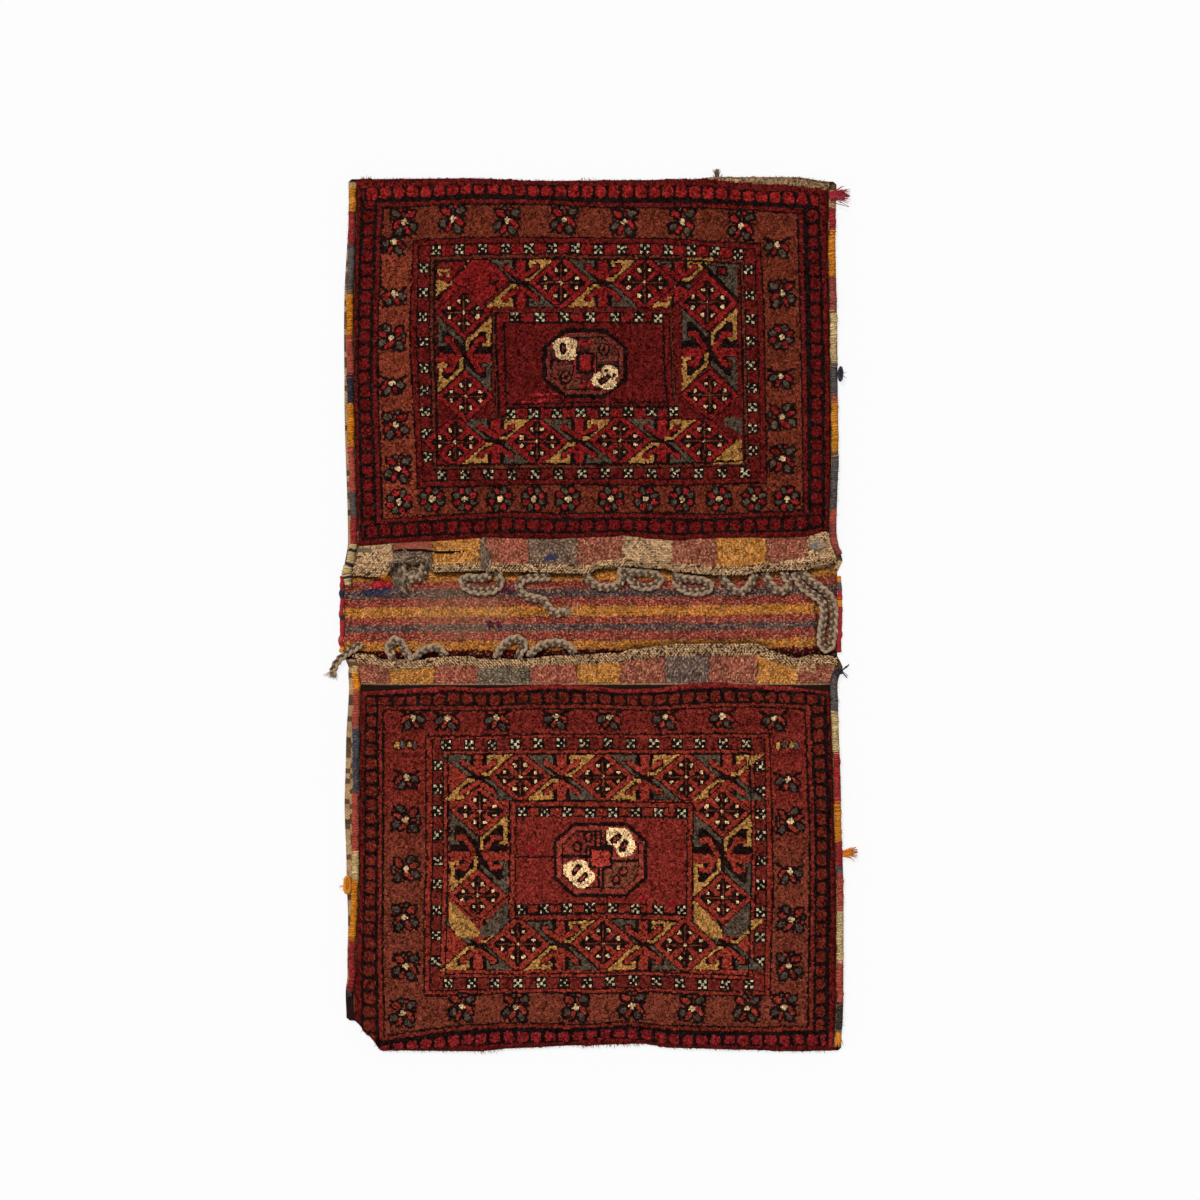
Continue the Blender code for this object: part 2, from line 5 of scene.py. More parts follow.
import bpy
import numpy as np
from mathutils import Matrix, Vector

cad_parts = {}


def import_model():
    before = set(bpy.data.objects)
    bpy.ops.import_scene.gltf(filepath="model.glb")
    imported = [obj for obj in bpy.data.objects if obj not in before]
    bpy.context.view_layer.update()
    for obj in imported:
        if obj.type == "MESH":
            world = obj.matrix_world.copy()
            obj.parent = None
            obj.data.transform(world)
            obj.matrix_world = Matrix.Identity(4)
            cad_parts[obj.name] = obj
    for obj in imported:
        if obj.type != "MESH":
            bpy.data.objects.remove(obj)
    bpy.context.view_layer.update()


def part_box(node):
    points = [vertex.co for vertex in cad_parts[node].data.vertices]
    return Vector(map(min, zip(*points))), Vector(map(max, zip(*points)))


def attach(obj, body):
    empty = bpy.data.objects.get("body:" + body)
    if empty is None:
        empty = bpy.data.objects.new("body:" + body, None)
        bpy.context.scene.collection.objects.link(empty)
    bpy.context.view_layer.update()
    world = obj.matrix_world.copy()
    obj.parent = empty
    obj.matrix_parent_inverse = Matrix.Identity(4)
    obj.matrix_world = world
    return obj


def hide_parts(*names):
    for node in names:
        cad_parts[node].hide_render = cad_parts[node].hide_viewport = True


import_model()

# ---------------------------------------------------------------- sizes, in millimetres
# The layout's zero point lies under the middle of the bridge; ORIGIN is the frame's zero in it.
ORIGIN = np.array((5.5, 4.58, 0.0))
BACK = 2.5
REST = 0.3
HEM = 10.8
HALF_BRIDGE = 50.4
FACE_WIDTH = 570.5
BRIDGE_WIDTH = 593.4
POUCH_HEIGHT = 5.6
SIDE_RISE = 32.0
END_RISE = 38.0
RIPPLE = 1.1
PUCKER = 1.2
BINDING = 8.0
SEAM = 0.5
BRAID = 7.5
BRAID_END = 7.0
BRAID_LIE = 0.5
PILE = 5.0
PX = 1.2
PX_X = 593.0
PX_Y = 614.0


class Pouch:
    def __init__(self, side, band, pile, shift, hem, end, left, right, left_margin, right_margin):
        self.side = side
        self.band = band
        self.length = HEM + band + pile
        self.shift = shift
        self.hem = hem
        self.end = end
        self.edges = {-1: left, 1: right}
        self.margins = {-1: left_margin, 1: right_margin}


UPPER = Pouch(
    side=1, band=28.8, pile=429.6, shift=-0.5,
    hem=[(-286, -5), (-250, -6), (-236, 12), (-202, 12), (-190, 0), (-136, 1), (-52, -1), (-8, -2),
         (8, 4), (34, 7), (80, 4), (104, 0), (150, -4), (180, -4), (202, 0), (252, 2), (274, 7),
         (288, 10)],
    end=[(-286, 0), (-150, 1), (-60, -2), (60, -1), (120, 0), (150, 2.5), (240, 2.5), (286, -3)],
    left=[(0, 4), (38, -2.5), (206, 1.3), (326, 1.9), (446, -1.5), (469, -1)],
    right=[(0, 8), (50, -1), (146, 1.3), (276, 0), (410, -2.3), (469, -1)],
    left_margin=[(0, 1.4), (40, 3), (276, 3.5), (446, 1), (469, 1)],
    right_margin=[(0, -7.6), (14, 0.6), (469, 0.6)],
)
LOWER = Pouch(
    side=-1, band=25.8, pile=432.6, shift=4.2,
    hem=[(-290, 0), (-284, -3), (-266, -2), (-248, 6), (-217, 6), (-184, 1), (-146, 0), (-136, 4),
         (-85, 3.5), (-40, -1), (28, -3.5), (47, -8), (71, -11), (104, -14.5), (194, -15.5),
         (206, -11), (217, -5), (245, 2), (264, -2), (282, -1), (294, 2)],
    end=[(-286, -34), (-270, -16), (-254, 2), (-140, 3), (-90, -1), (-20, -4), (60, -6), (95, -1),
         (180, 1), (240, 3), (292, 2)],
    left=[(0, 8), (14, 1), (36, -2), (120, -0.5), (275, 0), (413, 4.4), (440, 7), (469, 6)],
    right=[(0, 5), (36, -4.6), (53, -3.8), (173, -0.4), (293, 2.8), (413, 2.6), (469, 0)],
    left_margin=[(0, 2.1), (36, 6), (110, 8), (190, 9.5), (275, 7), (370, 2), (440, 1), (469, 1)],
    right_margin=[(0, -9.3), (14, 0.6), (469, 0.6)],
)

# Braided cords: points across and along the bag, each with its lift above the bridge
BRAIDS = {
    "upper_loop_1": [(-229, 55, 2), (-227, 47, 0), (-216, 42, 0), (-206, 47, 0), (-204, 55, 2)],
    "upper_loop_2": [(-113, 45, 2), (-111, 36, 0), (-122, 28, 0), (-138, 27, 0), (-150, 30.5, 0),
                     (-156, 36, 0), (-156, 41.5, 0), (-150.5, 44.3, 0), (-143, 43.5, 0), (-136, 43, 0), (-128, 45, 2)],
    "upper_loop_3": [(-58, 44, 2), (-71, 44, 1), (-84, 41, 0), (-89, 32, 0), (-83, 23, 0),
                     (-70, 19, 0), (-60, 17, 0), (-54, 9, 0), (-44, 1, 0), (-32, 4, 0)],
    "upper_loop_4": [(-6, 43, 2), (1, 36, 0), (13, 32, 0), (27, 34, 0), (35, 42, 0), (34, 51, 2)],
    "upper_loop_5": [(45, 50, 2), (57, 50, 0), (71, 49, 0), (81, 43, 0), (76, 35, 0), (63, 32, 0),
                     (52, 34, 0), (46, 40, 0)],
    "upper_loop_6": [(101, 45, 2), (114, 42.5, 0), (130, 41, 0), (141, 35, 0), (136, 28, 0),
                     (121, 26, 0), (109, 29, 0), (102, 35, 0)],
    "upper_loop_7": [(157, 41, 2), (165, 33, 0), (175, 26, 0), (185, 31, 0), (192, 42, 2)],
    "upper_loop_8": [(208, 44, 2), (214, 36, 0), (220, 29, 0), (230, 28, 0), (236, 36, 0),
                     (231, 45, 2)],
    "long_braid": [(254, 47, 2), (264, 38, 0), (277, 29, 0), (287, 17, 0), (290, -1, 0),
                   (288, -25, 0), (287.5, -34, 0), (285, -40, 0), (280.5, -42.3, 0), (276, -40, 0),
                   (273.8, -34, 0), (274, -22, 0),
                   (277, -1, 0), (275, 14, 0), (264, 23, 0), (252, 32, 0), (244, 44, 2)],
    "lower_loop_1": [(-242, -49, 2), (-246, -41, 0), (-239, -31, 0), (-230, -35, 0), (-226, -43, 0),
                     (-222, -50, 2)],
    "lower_loop_2": [(-211, -49, 2), (-203, -43, 0), (-189, -40, 0), (-181, -45, 2)],
    "lower_loop_3": [(-114, -47, 2), (-108, -38, 0), (-97, -30, 0), (-88, -30, 0), (-82, -38, 0),
                     (-88, -47, 2)],
    "lower_loop_4": [(-73, -46, 2), (-62, -38, 0), (-48, -34, 0), (-34, -36, 0), (-26, -42, 2)],
    "left_braid_end": [(-284, -40, 0), (-294, -46, 0), (-303, -53, 0), (-310, -62, -1.5),
                       (-313, -72, -2.5)],
}

# ---------------------------------------------------------------- small helpers


def smooth(share):
    share = np.clip(share, 0.0, 1.0)
    return share * share * (3.0 - 2.0 * share)


def along(pairs, place):
    xs, ys = np.array(pairs, float).T
    place = np.clip(place, xs[0], xs[-1])
    k = np.clip(np.searchsorted(xs, place, side="right") - 1, 0, len(xs) - 2)
    return ys[k] + (ys[k + 1] - ys[k]) * smooth((place - xs[k]) / (xs[k + 1] - xs[k]))


def linear(rgb):
    """A colour written as it looks, 0 to 255, turned into light values."""
    c = np.array(rgb, float) / 255.0
    return np.where(c <= 0.04045, c / 12.92, ((c + 0.055) / 1.055) ** 2.4)


def value_noise(x, y, cell, seed):
    """Smooth noise from -1 to 1 with this cell size, the same in each run."""
    table = np.random.default_rng(seed).uniform(-1.0, 1.0, (64, 64))
    gx, gy = np.asarray(x, float) / cell, np.asarray(y, float) / cell
    ix, iy = np.floor(gx).astype(int), np.floor(gy).astype(int)
    tx, ty = smooth(gx - ix), smooth(gy - iy)
    a, b = table[iy % 64, ix % 64], table[iy % 64, (ix + 1) % 64]
    c, d = table[(iy + 1) % 64, ix % 64], table[(iy + 1) % 64, (ix + 1) % 64]
    return (a + (b - a) * tx) * (1 - ty) + (c + (d - c) * tx) * ty


def to_px(x):
    return PX_X + x / PX


def to_py(y):
    return PX_Y - y / PX


def world(points):
    return (np.asarray(points, float) - ORIGIN) * 0.001


# ---------------------------------------------------------------- the cloth's shape


def face_edge(pouch, hand, depth):
    return pouch.shift + hand * (FACE_WIDTH / 2 + along(pouch.edges[hand], depth))


def back_edge(pouch, hand, depth):
    return face_edge(pouch, hand, depth) + hand * (SEAM + BINDING + along(pouch.margins[hand], depth))


def bridge_edge(hand):
    return -3.0 + hand * BRIDGE_WIDTH / 2


def face_place(pouch, x, depth):
    near = 1.0 - smooth(depth / (HEM + pouch.band))
    far = smooth(depth / pouch.length)
    return HALF_BRIDGE + depth + near * along(pouch.hem, x) + far * along(pouch.end, x)


def face_lift(pouch, share, depth):
    rise = smooth(np.minimum(share, 1.0 - share) * FACE_WIDTH / SIDE_RISE)
    rise = rise * smooth((pouch.length - depth) / END_RISE)
    swell = 0.5 + 0.5 * np.sin(9.0 * share + 11.0 * depth / pouch.length + pouch.side)
    return rise * (POUCH_HEIGHT + RIPPLE * swell)


def pucker(x, y):
    inside = smooth((HALF_BRIDGE - np.abs(y)) / (0.4 * HALF_BRIDGE))
    inside = inside * smooth((bridge_edge(1) - x) / SIDE_RISE) * smooth((x - bridge_edge(-1)) / SIDE_RISE)
    return inside * PUCKER * (0.5 + 0.5 * np.sin(x / 38.0) * np.cos(y / 24.0))


def face_point(pouch, share, depth):
    """Layout x and y, and the height of the face's underside."""
    left, right = face_edge(pouch, -1, depth), face_edge(pouch, 1, depth)
    x = left + (right - left) * share
    y = pouch.side * face_place(pouch, x, depth)
    return x, y, BACK + REST + face_lift(pouch, share, depth)


# ---------------------------------------------------------------- camera
camera_data = bpy.data.cameras.new("camera")
camera_data.lens = 100.0
camera_data.sensor_width = 36.0
camera = bpy.data.objects.new("camera", camera_data)
bpy.context.scene.collection.objects.link(camera)
TOP = 0.011
camera.location = (0.0029, 0.01222, TOP + 1200 * PX * 0.001 * 100.0 / 36.0)
camera.rotation_euler = (0.0, 0.0, 0.0)
camera_data.clip_end = 50.0
bpy.context.scene.camera = camera

# ---------------------------------------------------------------- materials


def new_material(name):
    material = bpy.data.materials.new(name)
    material.use_nodes = True
    shader = material.node_tree.nodes["Principled BSDF"]
    shader.inputs["Roughness"].default_value = 0.92
    shader.inputs["Specular IOR Level"].default_value = 0.1
    shader.inputs["Sheen Weight"].default_value = 0.05
    shader.inputs["Sheen Roughness"].default_value = 0.5
    return material, material.node_tree.nodes, material.node_tree.links, shader


def node(nodes, kind, **values):
    made = nodes.new(kind)
    for key, value in values.items():
        if key in made.inputs:
            made.inputs[key].default_value = value
        else:
            setattr(made, key, value)
    return made


def math_node(nodes, links, operation, first, second=None):
    made = nodes.new("ShaderNodeMath")
    made.operation = operation
    for socket, value in zip(made.inputs, (first, second)):
        if value is None:
            continue
        if isinstance(value, (int, float)):
            socket.default_value = value
        else:
            links.new(value, socket)
    return made.outputs[0]


def shade(nodes, links, colour, factor, low, high):
    """The colour times a number that goes from low to high with the factor."""
    ramp = node(nodes, "ShaderNodeMapRange")
    ramp.inputs["To Min"].default_value = low
    ramp.inputs["To Max"].default_value = high
    links.new(factor, ramp.inputs["Value"])
    mix = node(nodes, "ShaderNodeVectorMath", operation="SCALE")
    links.new(colour, mix.inputs[0])
    links.new(ramp.outputs[0], mix.inputs["Scale"])
    return mix.outputs[0]


def wool_material(name, grain, contrast, bump, twill=0.0, twill_period=3.0, twill_turn=1.0,
                  ribs=0.0, rib_period=2.4, rib_axis="X", sheen=0.0, gloss=0.08, dots=0.35):
    """Wool whose colour is written in the mesh, with fibre speckle, and twill or ribs where it has them."""
    material, nodes, links, shader = new_material(name)
    shader.inputs["Sheen Weight"].default_value = sheen
    shader.inputs["Specular IOR Level"].default_value = gloss
    colour = node(nodes, "ShaderNodeAttribute", attribute_name="wool").outputs["Color"]
    place = nodes.new("ShaderNodeTexCoord").outputs["Object"]
    fibre = node(nodes, "ShaderNodeTexNoise", Scale=grain, Detail=2.0, Roughness=0.7)
    links.new(place, fibre.inputs["Vector"])
    soft = node(nodes, "ShaderNodeTexNoise", Scale=grain * 0.12, Detail=1.0)
    links.new(place, soft.inputs["Vector"])
    spread = node(nodes, "ShaderNodeMapRange")
    spread.inputs["From Min"].default_value = 0.3
    spread.inputs["From Max"].default_value = 0.7
    links.new(fibre.outputs["Fac"], spread.inputs["Value"])
    out = shade(nodes, links, colour, spread.outputs[0], 1.0 - contrast, 1.0 + contrast)
    out = shade(nodes, links, out, soft.outputs["Fac"], 0.86, 1.14)
    height = fibre.outputs["Fac"]
    if twill:
        parts = nodes.new("ShaderNodeSeparateXYZ")
        links.new(place, parts.inputs[0])
        sway = node(nodes, "ShaderNodeTexNoise", Scale=90.0, Detail=1.0)
        links.new(place, sway.inputs["Vector"])
        across_y = math_node(nodes, links, "MULTIPLY", parts.outputs["Y"], twill_turn)
        total = math_node(nodes, links, "ADD", parts.outputs["X"], across_y)
        total = math_node(nodes, links, "MULTIPLY", total, 2 * math.pi / (twill_period * 0.001))
        swing = math_node(nodes, links, "MULTIPLY", sway.outputs["Fac"], 7.0)
        total = math_node(nodes, links, "ADD", total, swing)
        wave = math_node(nodes, links, "SINE", total)
        breaks = math_node(nodes, links, "MULTIPLY", parts.outputs["Y"], 2 * math.pi / 0.0021)
        breaks = math_node(nodes, links, "SINE", breaks)
        wave = math_node(nodes, links, "ADD", wave, math_node(nodes, links, "MULTIPLY", breaks, dots))
        speck = math_node(nodes, links, "SUBTRACT", fibre.outputs["Fac"], 0.5)
        wave = math_node(nodes, links, "ADD", wave, math_node(nodes, links, "MULTIPLY", speck, 5.0))
        step = node(nodes, "ShaderNodeMapRange", clamp=True)
        step.inputs["From Min"].default_value = -0.9
        step.inputs["From Max"].default_value = 0.5
        links.new(wave, step.inputs["Value"])
        out = shade(nodes, links, out, step.outputs[0], 1.0 - twill, 1.0 + twill * 0.35)
        height = math_node(nodes, links, "ADD", height, step.outputs[0])
    if ribs:
        parts = nodes.new("ShaderNodeSeparateXYZ")
        links.new(place, parts.inputs[0])
        rib = math_node(nodes, links, "MULTIPLY", parts.outputs[rib_axis], 2 * math.pi / (rib_period * 0.001))
        rib = math_node(nodes, links, "SINE", rib)
        height = math_node(nodes, links, "ADD", height, math_node(nodes, links, "MULTIPLY", rib, ribs))
    links.new(out, shader.inputs["Base Color"])
    relief = node(nodes, "ShaderNodeBump", Strength=0.7, Distance=bump * 0.001)
    links.new(height, relief.inputs["Height"])
    links.new(relief.outputs[0], shader.inputs["Normal"])
    return material


MATERIALS = {
    "pile": wool_material("pile_wool", 1000.0, 0.7, 1.0, gloss=0.03),
    "hem": wool_material("hem_twill", 900.0, 0.35, 0.5, twill=0.82, twill_period=2.9, twill_turn=-1.0, dots=0.9),
    "band": wool_material("band_wool", 900.0, 0.5, 0.5, twill=0.4, twill_period=2.8, twill_turn=-1.0, dots=0.7),
    "bridge": wool_material("bridge_wool", 1000.0, 0.6, 0.5, twill=0.35, twill_period=2.6, ribs=0.3,
                            rib_period=2.5, dots=0.7),
    "twill": wool_material("back_twill", 800.0, 0.25, 0.5, twill=0.6, twill_period=3.4, twill_turn=1.0),
    "wrap": wool_material("wrapped_wool", 1200.0, 0.45, 0.35),
    "braid": wool_material("goat_hair_braid", 1500.0, 0.4, 0.4, sheen=0.08),
    "fibre": wool_material("loose_fibre", 1500.0, 0.2, 0.1, sheen=0.08),
}

# ---------------------------------------------------------------- mesh building


def make_object(name, verts, faces, colours, material, round_shading=True):
    """A mesh of quads in millimetres, with one colour a face."""
    verts = world(verts)
    faces = np.asarray(faces, np.int32)
    mesh = bpy.data.meshes.new(name)
    mesh.vertices.add(len(verts))
    mesh.vertices.foreach_set("co", verts.astype(np.float32).ravel())
    mesh.loops.add(faces.size)
    mesh.loops.foreach_set("vertex_index", faces.ravel())
    mesh.polygons.add(len(faces))
    size = faces.shape[1]
    mesh.polygons.foreach_set("loop_start", np.arange(0, faces.size, size, dtype=np.int32))
    mesh.update(calc_edges=True)
    mesh.validate()
    mesh.shade_smooth() if round_shading else mesh.shade_flat()
    layer = mesh.color_attributes.new(name="wool", type="FLOAT_COLOR", domain="CORNER")
    rgba = np.ones((len(faces), size, 4), np.float32)
    rgba[:, :, :3] = np.asarray(colours, np.float32)[:, None, :]
    layer.data.foreach_set("color", rgba.ravel())
    mesh.materials.append(MATERIALS[material])
    obj = bpy.data.objects.new(name, mesh)
    bpy.context.scene.collection.objects.link(obj)
    return obj


def grid_faces(rows, cols, flip, start=0):
    r, c = np.meshgrid(np.arange(rows - 1), np.arange(cols - 1), indexing="ij")
    a = (start + r * cols + c).ravel()
    faces = np.stack((a, a + 1, a + cols + 1, a + cols), axis=1)
    return faces[:, ::-1] if flip else faces


def cell_mean(values, rows, cols):
    grid = np.asarray(values).reshape(rows, cols)
    return ((grid[:-1, :-1] + grid[1:, :-1] + grid[:-1, 1:] + grid[1:, 1:]) / 4).ravel()


def slab(name, top, under, flip, top_colour, under_colour, material):
    """A closed sheet between two grids of points, rows x columns x 3."""
    rows, cols = top.shape[:2]
    count = rows * cols
    verts = np.concatenate((top.reshape(-1, 3), under.reshape(-1, 3)))
    upper = grid_faces(rows, cols, flip)
    lower = grid_faces(rows, cols, not flip, count)
    ring = np.concatenate((np.arange(cols), np.arange(1, rows) * cols + cols - 1,
                           (rows - 1) * cols + np.arange(cols - 2, -1, -1),
                           np.arange(rows - 2, 0, -1) * cols))
    after = np.roll(ring, -1)
    rim = np.stack((ring, ring + count, after + count, after), axis=1)
    rim = rim[:, ::-1] if flip else rim
    # the rim takes the first top colour times 0.7: painted shade on the sheet's edges
    colours = np.concatenate((top_colour, under_colour, np.repeat(top_colour[:1] * 0.7, len(rim), axis=0)))
    return make_object(name, verts, np.concatenate((upper, lower, rim)), colours, material)


def tube_mesh(points, radii, sides, turn=None, squash=1.0, normals=None):
    """Rings round a line of points: vertices, quads, the end quads of a four-sided tube, and for each quad its place
    along.
    """
    points = np.asarray(points, float)
    tangent = np.gradient(points, axis=0)
    tangent /= np.linalg.norm(tangent, axis=1)[:, None] + 1e-12
    up = np.tile((0.0, 0.0, 1.0), (len(points), 1)) if normals is None else normals
    side = np.cross(tangent, up)
    length = np.linalg.norm(side, axis=1)
    side[length < 1e-3] = (1.0, 0.0, 0.0)
    side /= np.linalg.norm(side, axis=1)[:, None]
    up = np.cross(side, tangent)
    angle = np.arange(sides) * 2 * math.pi / sides
    radii = np.broadcast_to(np.asarray(radii, float).reshape(len(points), -1), (len(points), sides))
    ring = side[:, None, :] * (np.cos(angle)[None, :] * radii)[:, :, None]
    ring = ring + up[:, None, :] * (np.sin(angle)[None, :] * radii * squash)[:, :, None]
    verts = (points[:, None, :] + ring).reshape(-1, 3)
    i, j = np.meshgrid(np.arange(len(points) - 1), np.arange(sides), indexing="ij")
    a, b = i * sides + j, i * sides + (j + 1) % sides
    faces = np.stack((a.ravel(), (a + sides).ravel(), (b + sides).ravel(), b.ravel()), axis=1)
    ends = []
    if sides == 4:
        ends = [[0, 1, 2, 3], [len(verts) - 1, len(verts) - 2, len(verts) - 3, len(verts) - 4]]
    return verts, faces, np.array(ends, np.int32).reshape(-1, 4), i.ravel()


class Bundle:
    """Many tubes gathered into one mesh."""

    def __init__(self):
        self.verts, self.faces, self.colours, self.count = [], [], [], 0

    def tube(self, points, radii, colour, sides=4, squash=1.0, normals=None):
        verts, faces, ends, ring = tube_mesh(points, radii, sides, squash=squash, normals=normals)
        colour = np.asarray(colour, float)
        shades = colour[ring] if colour.ndim == 2 else np.tile(colour, (len(faces), 1))
        self.verts.append(verts)
        self.faces.append(faces + self.count)
        self.colours.append(shades)
        if len(ends):
            self.faces.append(ends + self.count)
            self.colours.append(shades[[0, -1]])
        self.count += len(verts)

    def object(self, name, material):
        return make_object(name, np.concatenate(self.verts), np.concatenate(self.faces),
                           np.concatenate(self.colours), material)


# ---------------------------------------------------------------- braided cords


def smooth_route(points, spacing):
    points = [Vector(p) for p in points]
    ends = [2 * points[0] - points[1], *points, 2 * points[-1] - points[-2]]
    fine = []
    for a, b, c, d in zip(ends, ends[1:], ends[2:], ends[3:]):
        for step in range(12):
            t = step / 12
            fine.append(0.5 * (2 * b + (c - a) * t + (2 * a - 5 * b + 4 * c - d) * t * t
                               + (3 * b - 3 * c + d - a) * t * t * t))
    fine.append(points[-1])
    fine = np.array([tuple(p) for p in fine])
    reach = np.concatenate(([0.0], np.cumsum(np.linalg.norm(np.diff(fine, axis=0), axis=1))))
    count = max(int(round(reach[-1] / spacing)), 4)
    want = np.linspace(0.0, reach[-1], count + 1)
    return np.stack([np.interp(want, reach, fine[:, k]) for k in range(3)], axis=1), reach[-1]


HAIR = linear((162, 136, 110))
HAIR_DARK = linear((84, 66, 50))
HEM_TAIL = 6.0


def into_hem(end, before):
    """A point 6 mm further inside the hem, where the braid is sewn in."""
    way = np.array((end[0] - before[0], (end[1] - before[1]) * 2.0 + np.sign(end[1]) * 3.0))
    way = way / np.linalg.norm(way) * HEM_TAIL
    return end[0] + way[0], end[1] + way[1], end[2] - 0.5


def braid(name, route, dia, free_end=False):
    """A flat braid of three strands along its route, with stray hairs."""
    rng = np.random.default_rng(abs(hash_name(name)))
    spots = []
    for x, y, lift in route:
        spots.append((x, y, BACK + float(pucker(x, y)) + BRAID_LIE + dia / 2 + lift))
    spots.insert(0, into_hem(spots[0], spots[1]))
    if not free_end:
        spots.append(into_hem(spots[-1], spots[-2]))
    line, length = smooth_route(spots, 1.1)
    tangent = np.gradient(line, axis=0)
    tangent /= np.linalg.norm(tangent, axis=1)[:, None]
    side = np.cross(tangent, (0.0, 0.0, 1.0))
    side /= np.linalg.norm(side, axis=1)[:, None]
    up = np.cross(side, tangent)
    reach = np.linspace(0.0, length, len(line))
    bundle = Bundle()
    pitch = dia * 3.5
    for strand in range(3):
        phase = 2 * math.pi * (reach / pitch + strand / 3)
        offset = side * (0.42 * dia * np.sin(phase))[:, None] + up * (0.15 * dia * np.sin(2 * phase))[:, None]
        for ply in range(2):
            twist = 2 * math.pi * reach / (dia * 1.1) + ply * math.pi
            fine = side * (0.12 * dia * np.cos(twist))[:, None] + up * (0.10 * dia * np.sin(twist))[:, None]
            grain = 0.7 + 0.55 * rng.random(len(line))
            tone = (HAIR[None, :] * grain[:, None])
            tone = np.where((np.sin(phase + 1.0) > 0.75)[:, None], HAIR_DARK * grain[:, None], tone)
            bundle.tube(line + offset + fine, 0.205 * dia * (0.9 + 0.2 * rng.random(len(line))), tone, 6)
    if free_end:
        fray = Bundle()
        for _ in range(60):
            t = np.linspace(0, 1, 5)[:, None]
            fan = side[-1] * rng.normal(0, 0.35) + up[-1] * rng.uniform(-0.35, 0.15) + tangent[-1]
            start = line[-5] + side[-1] * rng.normal(0, 0.16) * dia + up[-1] * rng.uniform(-0.2, 0.2) * dia
            strand = start + fan * t * rng.uniform(5.0, 11.0) + side[-1] * (t * t * rng.normal(0, 1.4))
            strand[:, 2] = np.maximum(strand[:, 2], 0.6)
            fray.tube(strand, np.linspace(0.5, 0.2, 5), HAIR * rng.uniform(0.5, 1.4), 4)
        loose = fray.object(name + "_fray", "braid")
        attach(loose, "root")
    hairs = int(length * 1.6)
    for _ in range(hairs):
        k = rng.integers(0, len(line) - 1)
        angle = rng.uniform(0, 2 * math.pi)
        root = line[k] + side[k] * 0.42 * dia * math.cos(angle) + up[k] * 0.3 * dia * math.sin(angle)
        way = side[k] * math.cos(angle) + up[k] * (0.3 + 0.4 * rng.random()) + tangent[k] * rng.normal(0, 0.9)
        way /= np.linalg.norm(way)
        reach_mm = min(rng.uniform(1.0, 3.2), 0.3 * dia + 1.0)
        t = np.linspace(0, 1, 4)[:, None]
        curl = np.cross(way, tangent[k]) * (t * t * rng.normal(0, 0.8))
        bundle.tube(root + way * t * reach_mm * 0.6 + curl * 0.6, np.linspace(0.13, 0.05, 4), HAIR * rng.uniform(0.8, 1.5), 3)
    obj = bundle.object(name + "_rope", "braid")
    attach(obj, "root")
    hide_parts(name)
    path = world(smooth_route(spots, max(length / 38, 1.6))[0])
    return obj


def hash_name(name):
    return sum((k + 1) * ord(letter) for k, letter in enumerate(name))


for braid_name, braid_route in BRAIDS.items():
    braid(braid_name, braid_route, BRAID_END if braid_name == "left_braid_end" else BRAID,
          free_end=braid_name in ("left_braid_end", "upper_loop_3"))

# ---------------------------------------------------------------- colours of the pile
RED = linear((134, 28, 26))
DEEP_RED = linear((98, 22, 18))
DARK = linear((27, 12, 9))
RUST = linear((102, 42, 26))
IVORY = linear((236, 194, 142))
GOLD = linear((172, 121, 62))
OLIVE = linear((82, 68, 54))
WHITE = linear((226, 208, 164))
BRICK = linear((140, 48, 34))
SLATE = linear((82, 66, 56))
FIELD_BROWN = linear((112, 50, 34))
FIELD_RED = linear((114, 36, 27))
TWILL = linear((180, 143, 104))
TWILL_DARK = linear((98, 72, 48))


def guide(lines, at, across_at):
    """Design coordinates: places between given guide lines, each a nominal value with its wavy course."""
    nominal = np.array([line[0] for line in lines], float)
    course = np.stack([np.interp(at, *np.array(line[1], float).T) for line in lines])
    out = np.empty_like(across_at)
    below = across_at < course[0]
    out[below] = nominal[0] + (across_at - course[0])[below]
    for k in range(len(lines) - 1):
        inside = (across_at >= course[k]) & (across_at <= course[k + 1])
        share = (across_at - course[k]) / np.maximum(course[k + 1] - course[k], 1e-6)
        out[inside] = (nominal[k] + (nominal[k + 1] - nominal[k]) * share)[inside]
    above = across_at > course[-1]
    out[above] = nominal[-1] + (across_at - course[-1])[above]
    return out


class Painter:
    """Paints fields of colour on cells given by their places in the layout's pixels."""

    def __init__(self, px, py, x, y, base):
        self.px, self.py, self.x, self.y = px, py, x, y
        self.rgb = np.tile(base, (len(px), 1))

    def put(self, mask, colour):
        self.rgb[mask] = colour

    def local(self, cx, cy):
        return self.px - cx, self.py - cy

    def disc(self, cx, cy, rx, ry, colour):
        u, v = self.local(cx, cy)
        self.put((u / rx) ** 2 + (v / ry) ** 2 < 1, colour)

    def box(self, x0, y0, x1, y1, colour):
        self.put((self.px > x0) & (self.px < x1) & (self.py > y0) & (self.py < y1), colour)

    def line(self, x0, y0, x1, y1, half, colour):
        dx, dy = x1 - x0, y1 - y0
        t = np.clip(((self.px - x0) * dx + (self.py - y0) * dy) / (dx * dx + dy * dy), 0, 1)
        far = np.hypot(self.px - x0 - t * dx, self.py - y0 - t * dy)
        self.put(far < half, colour)


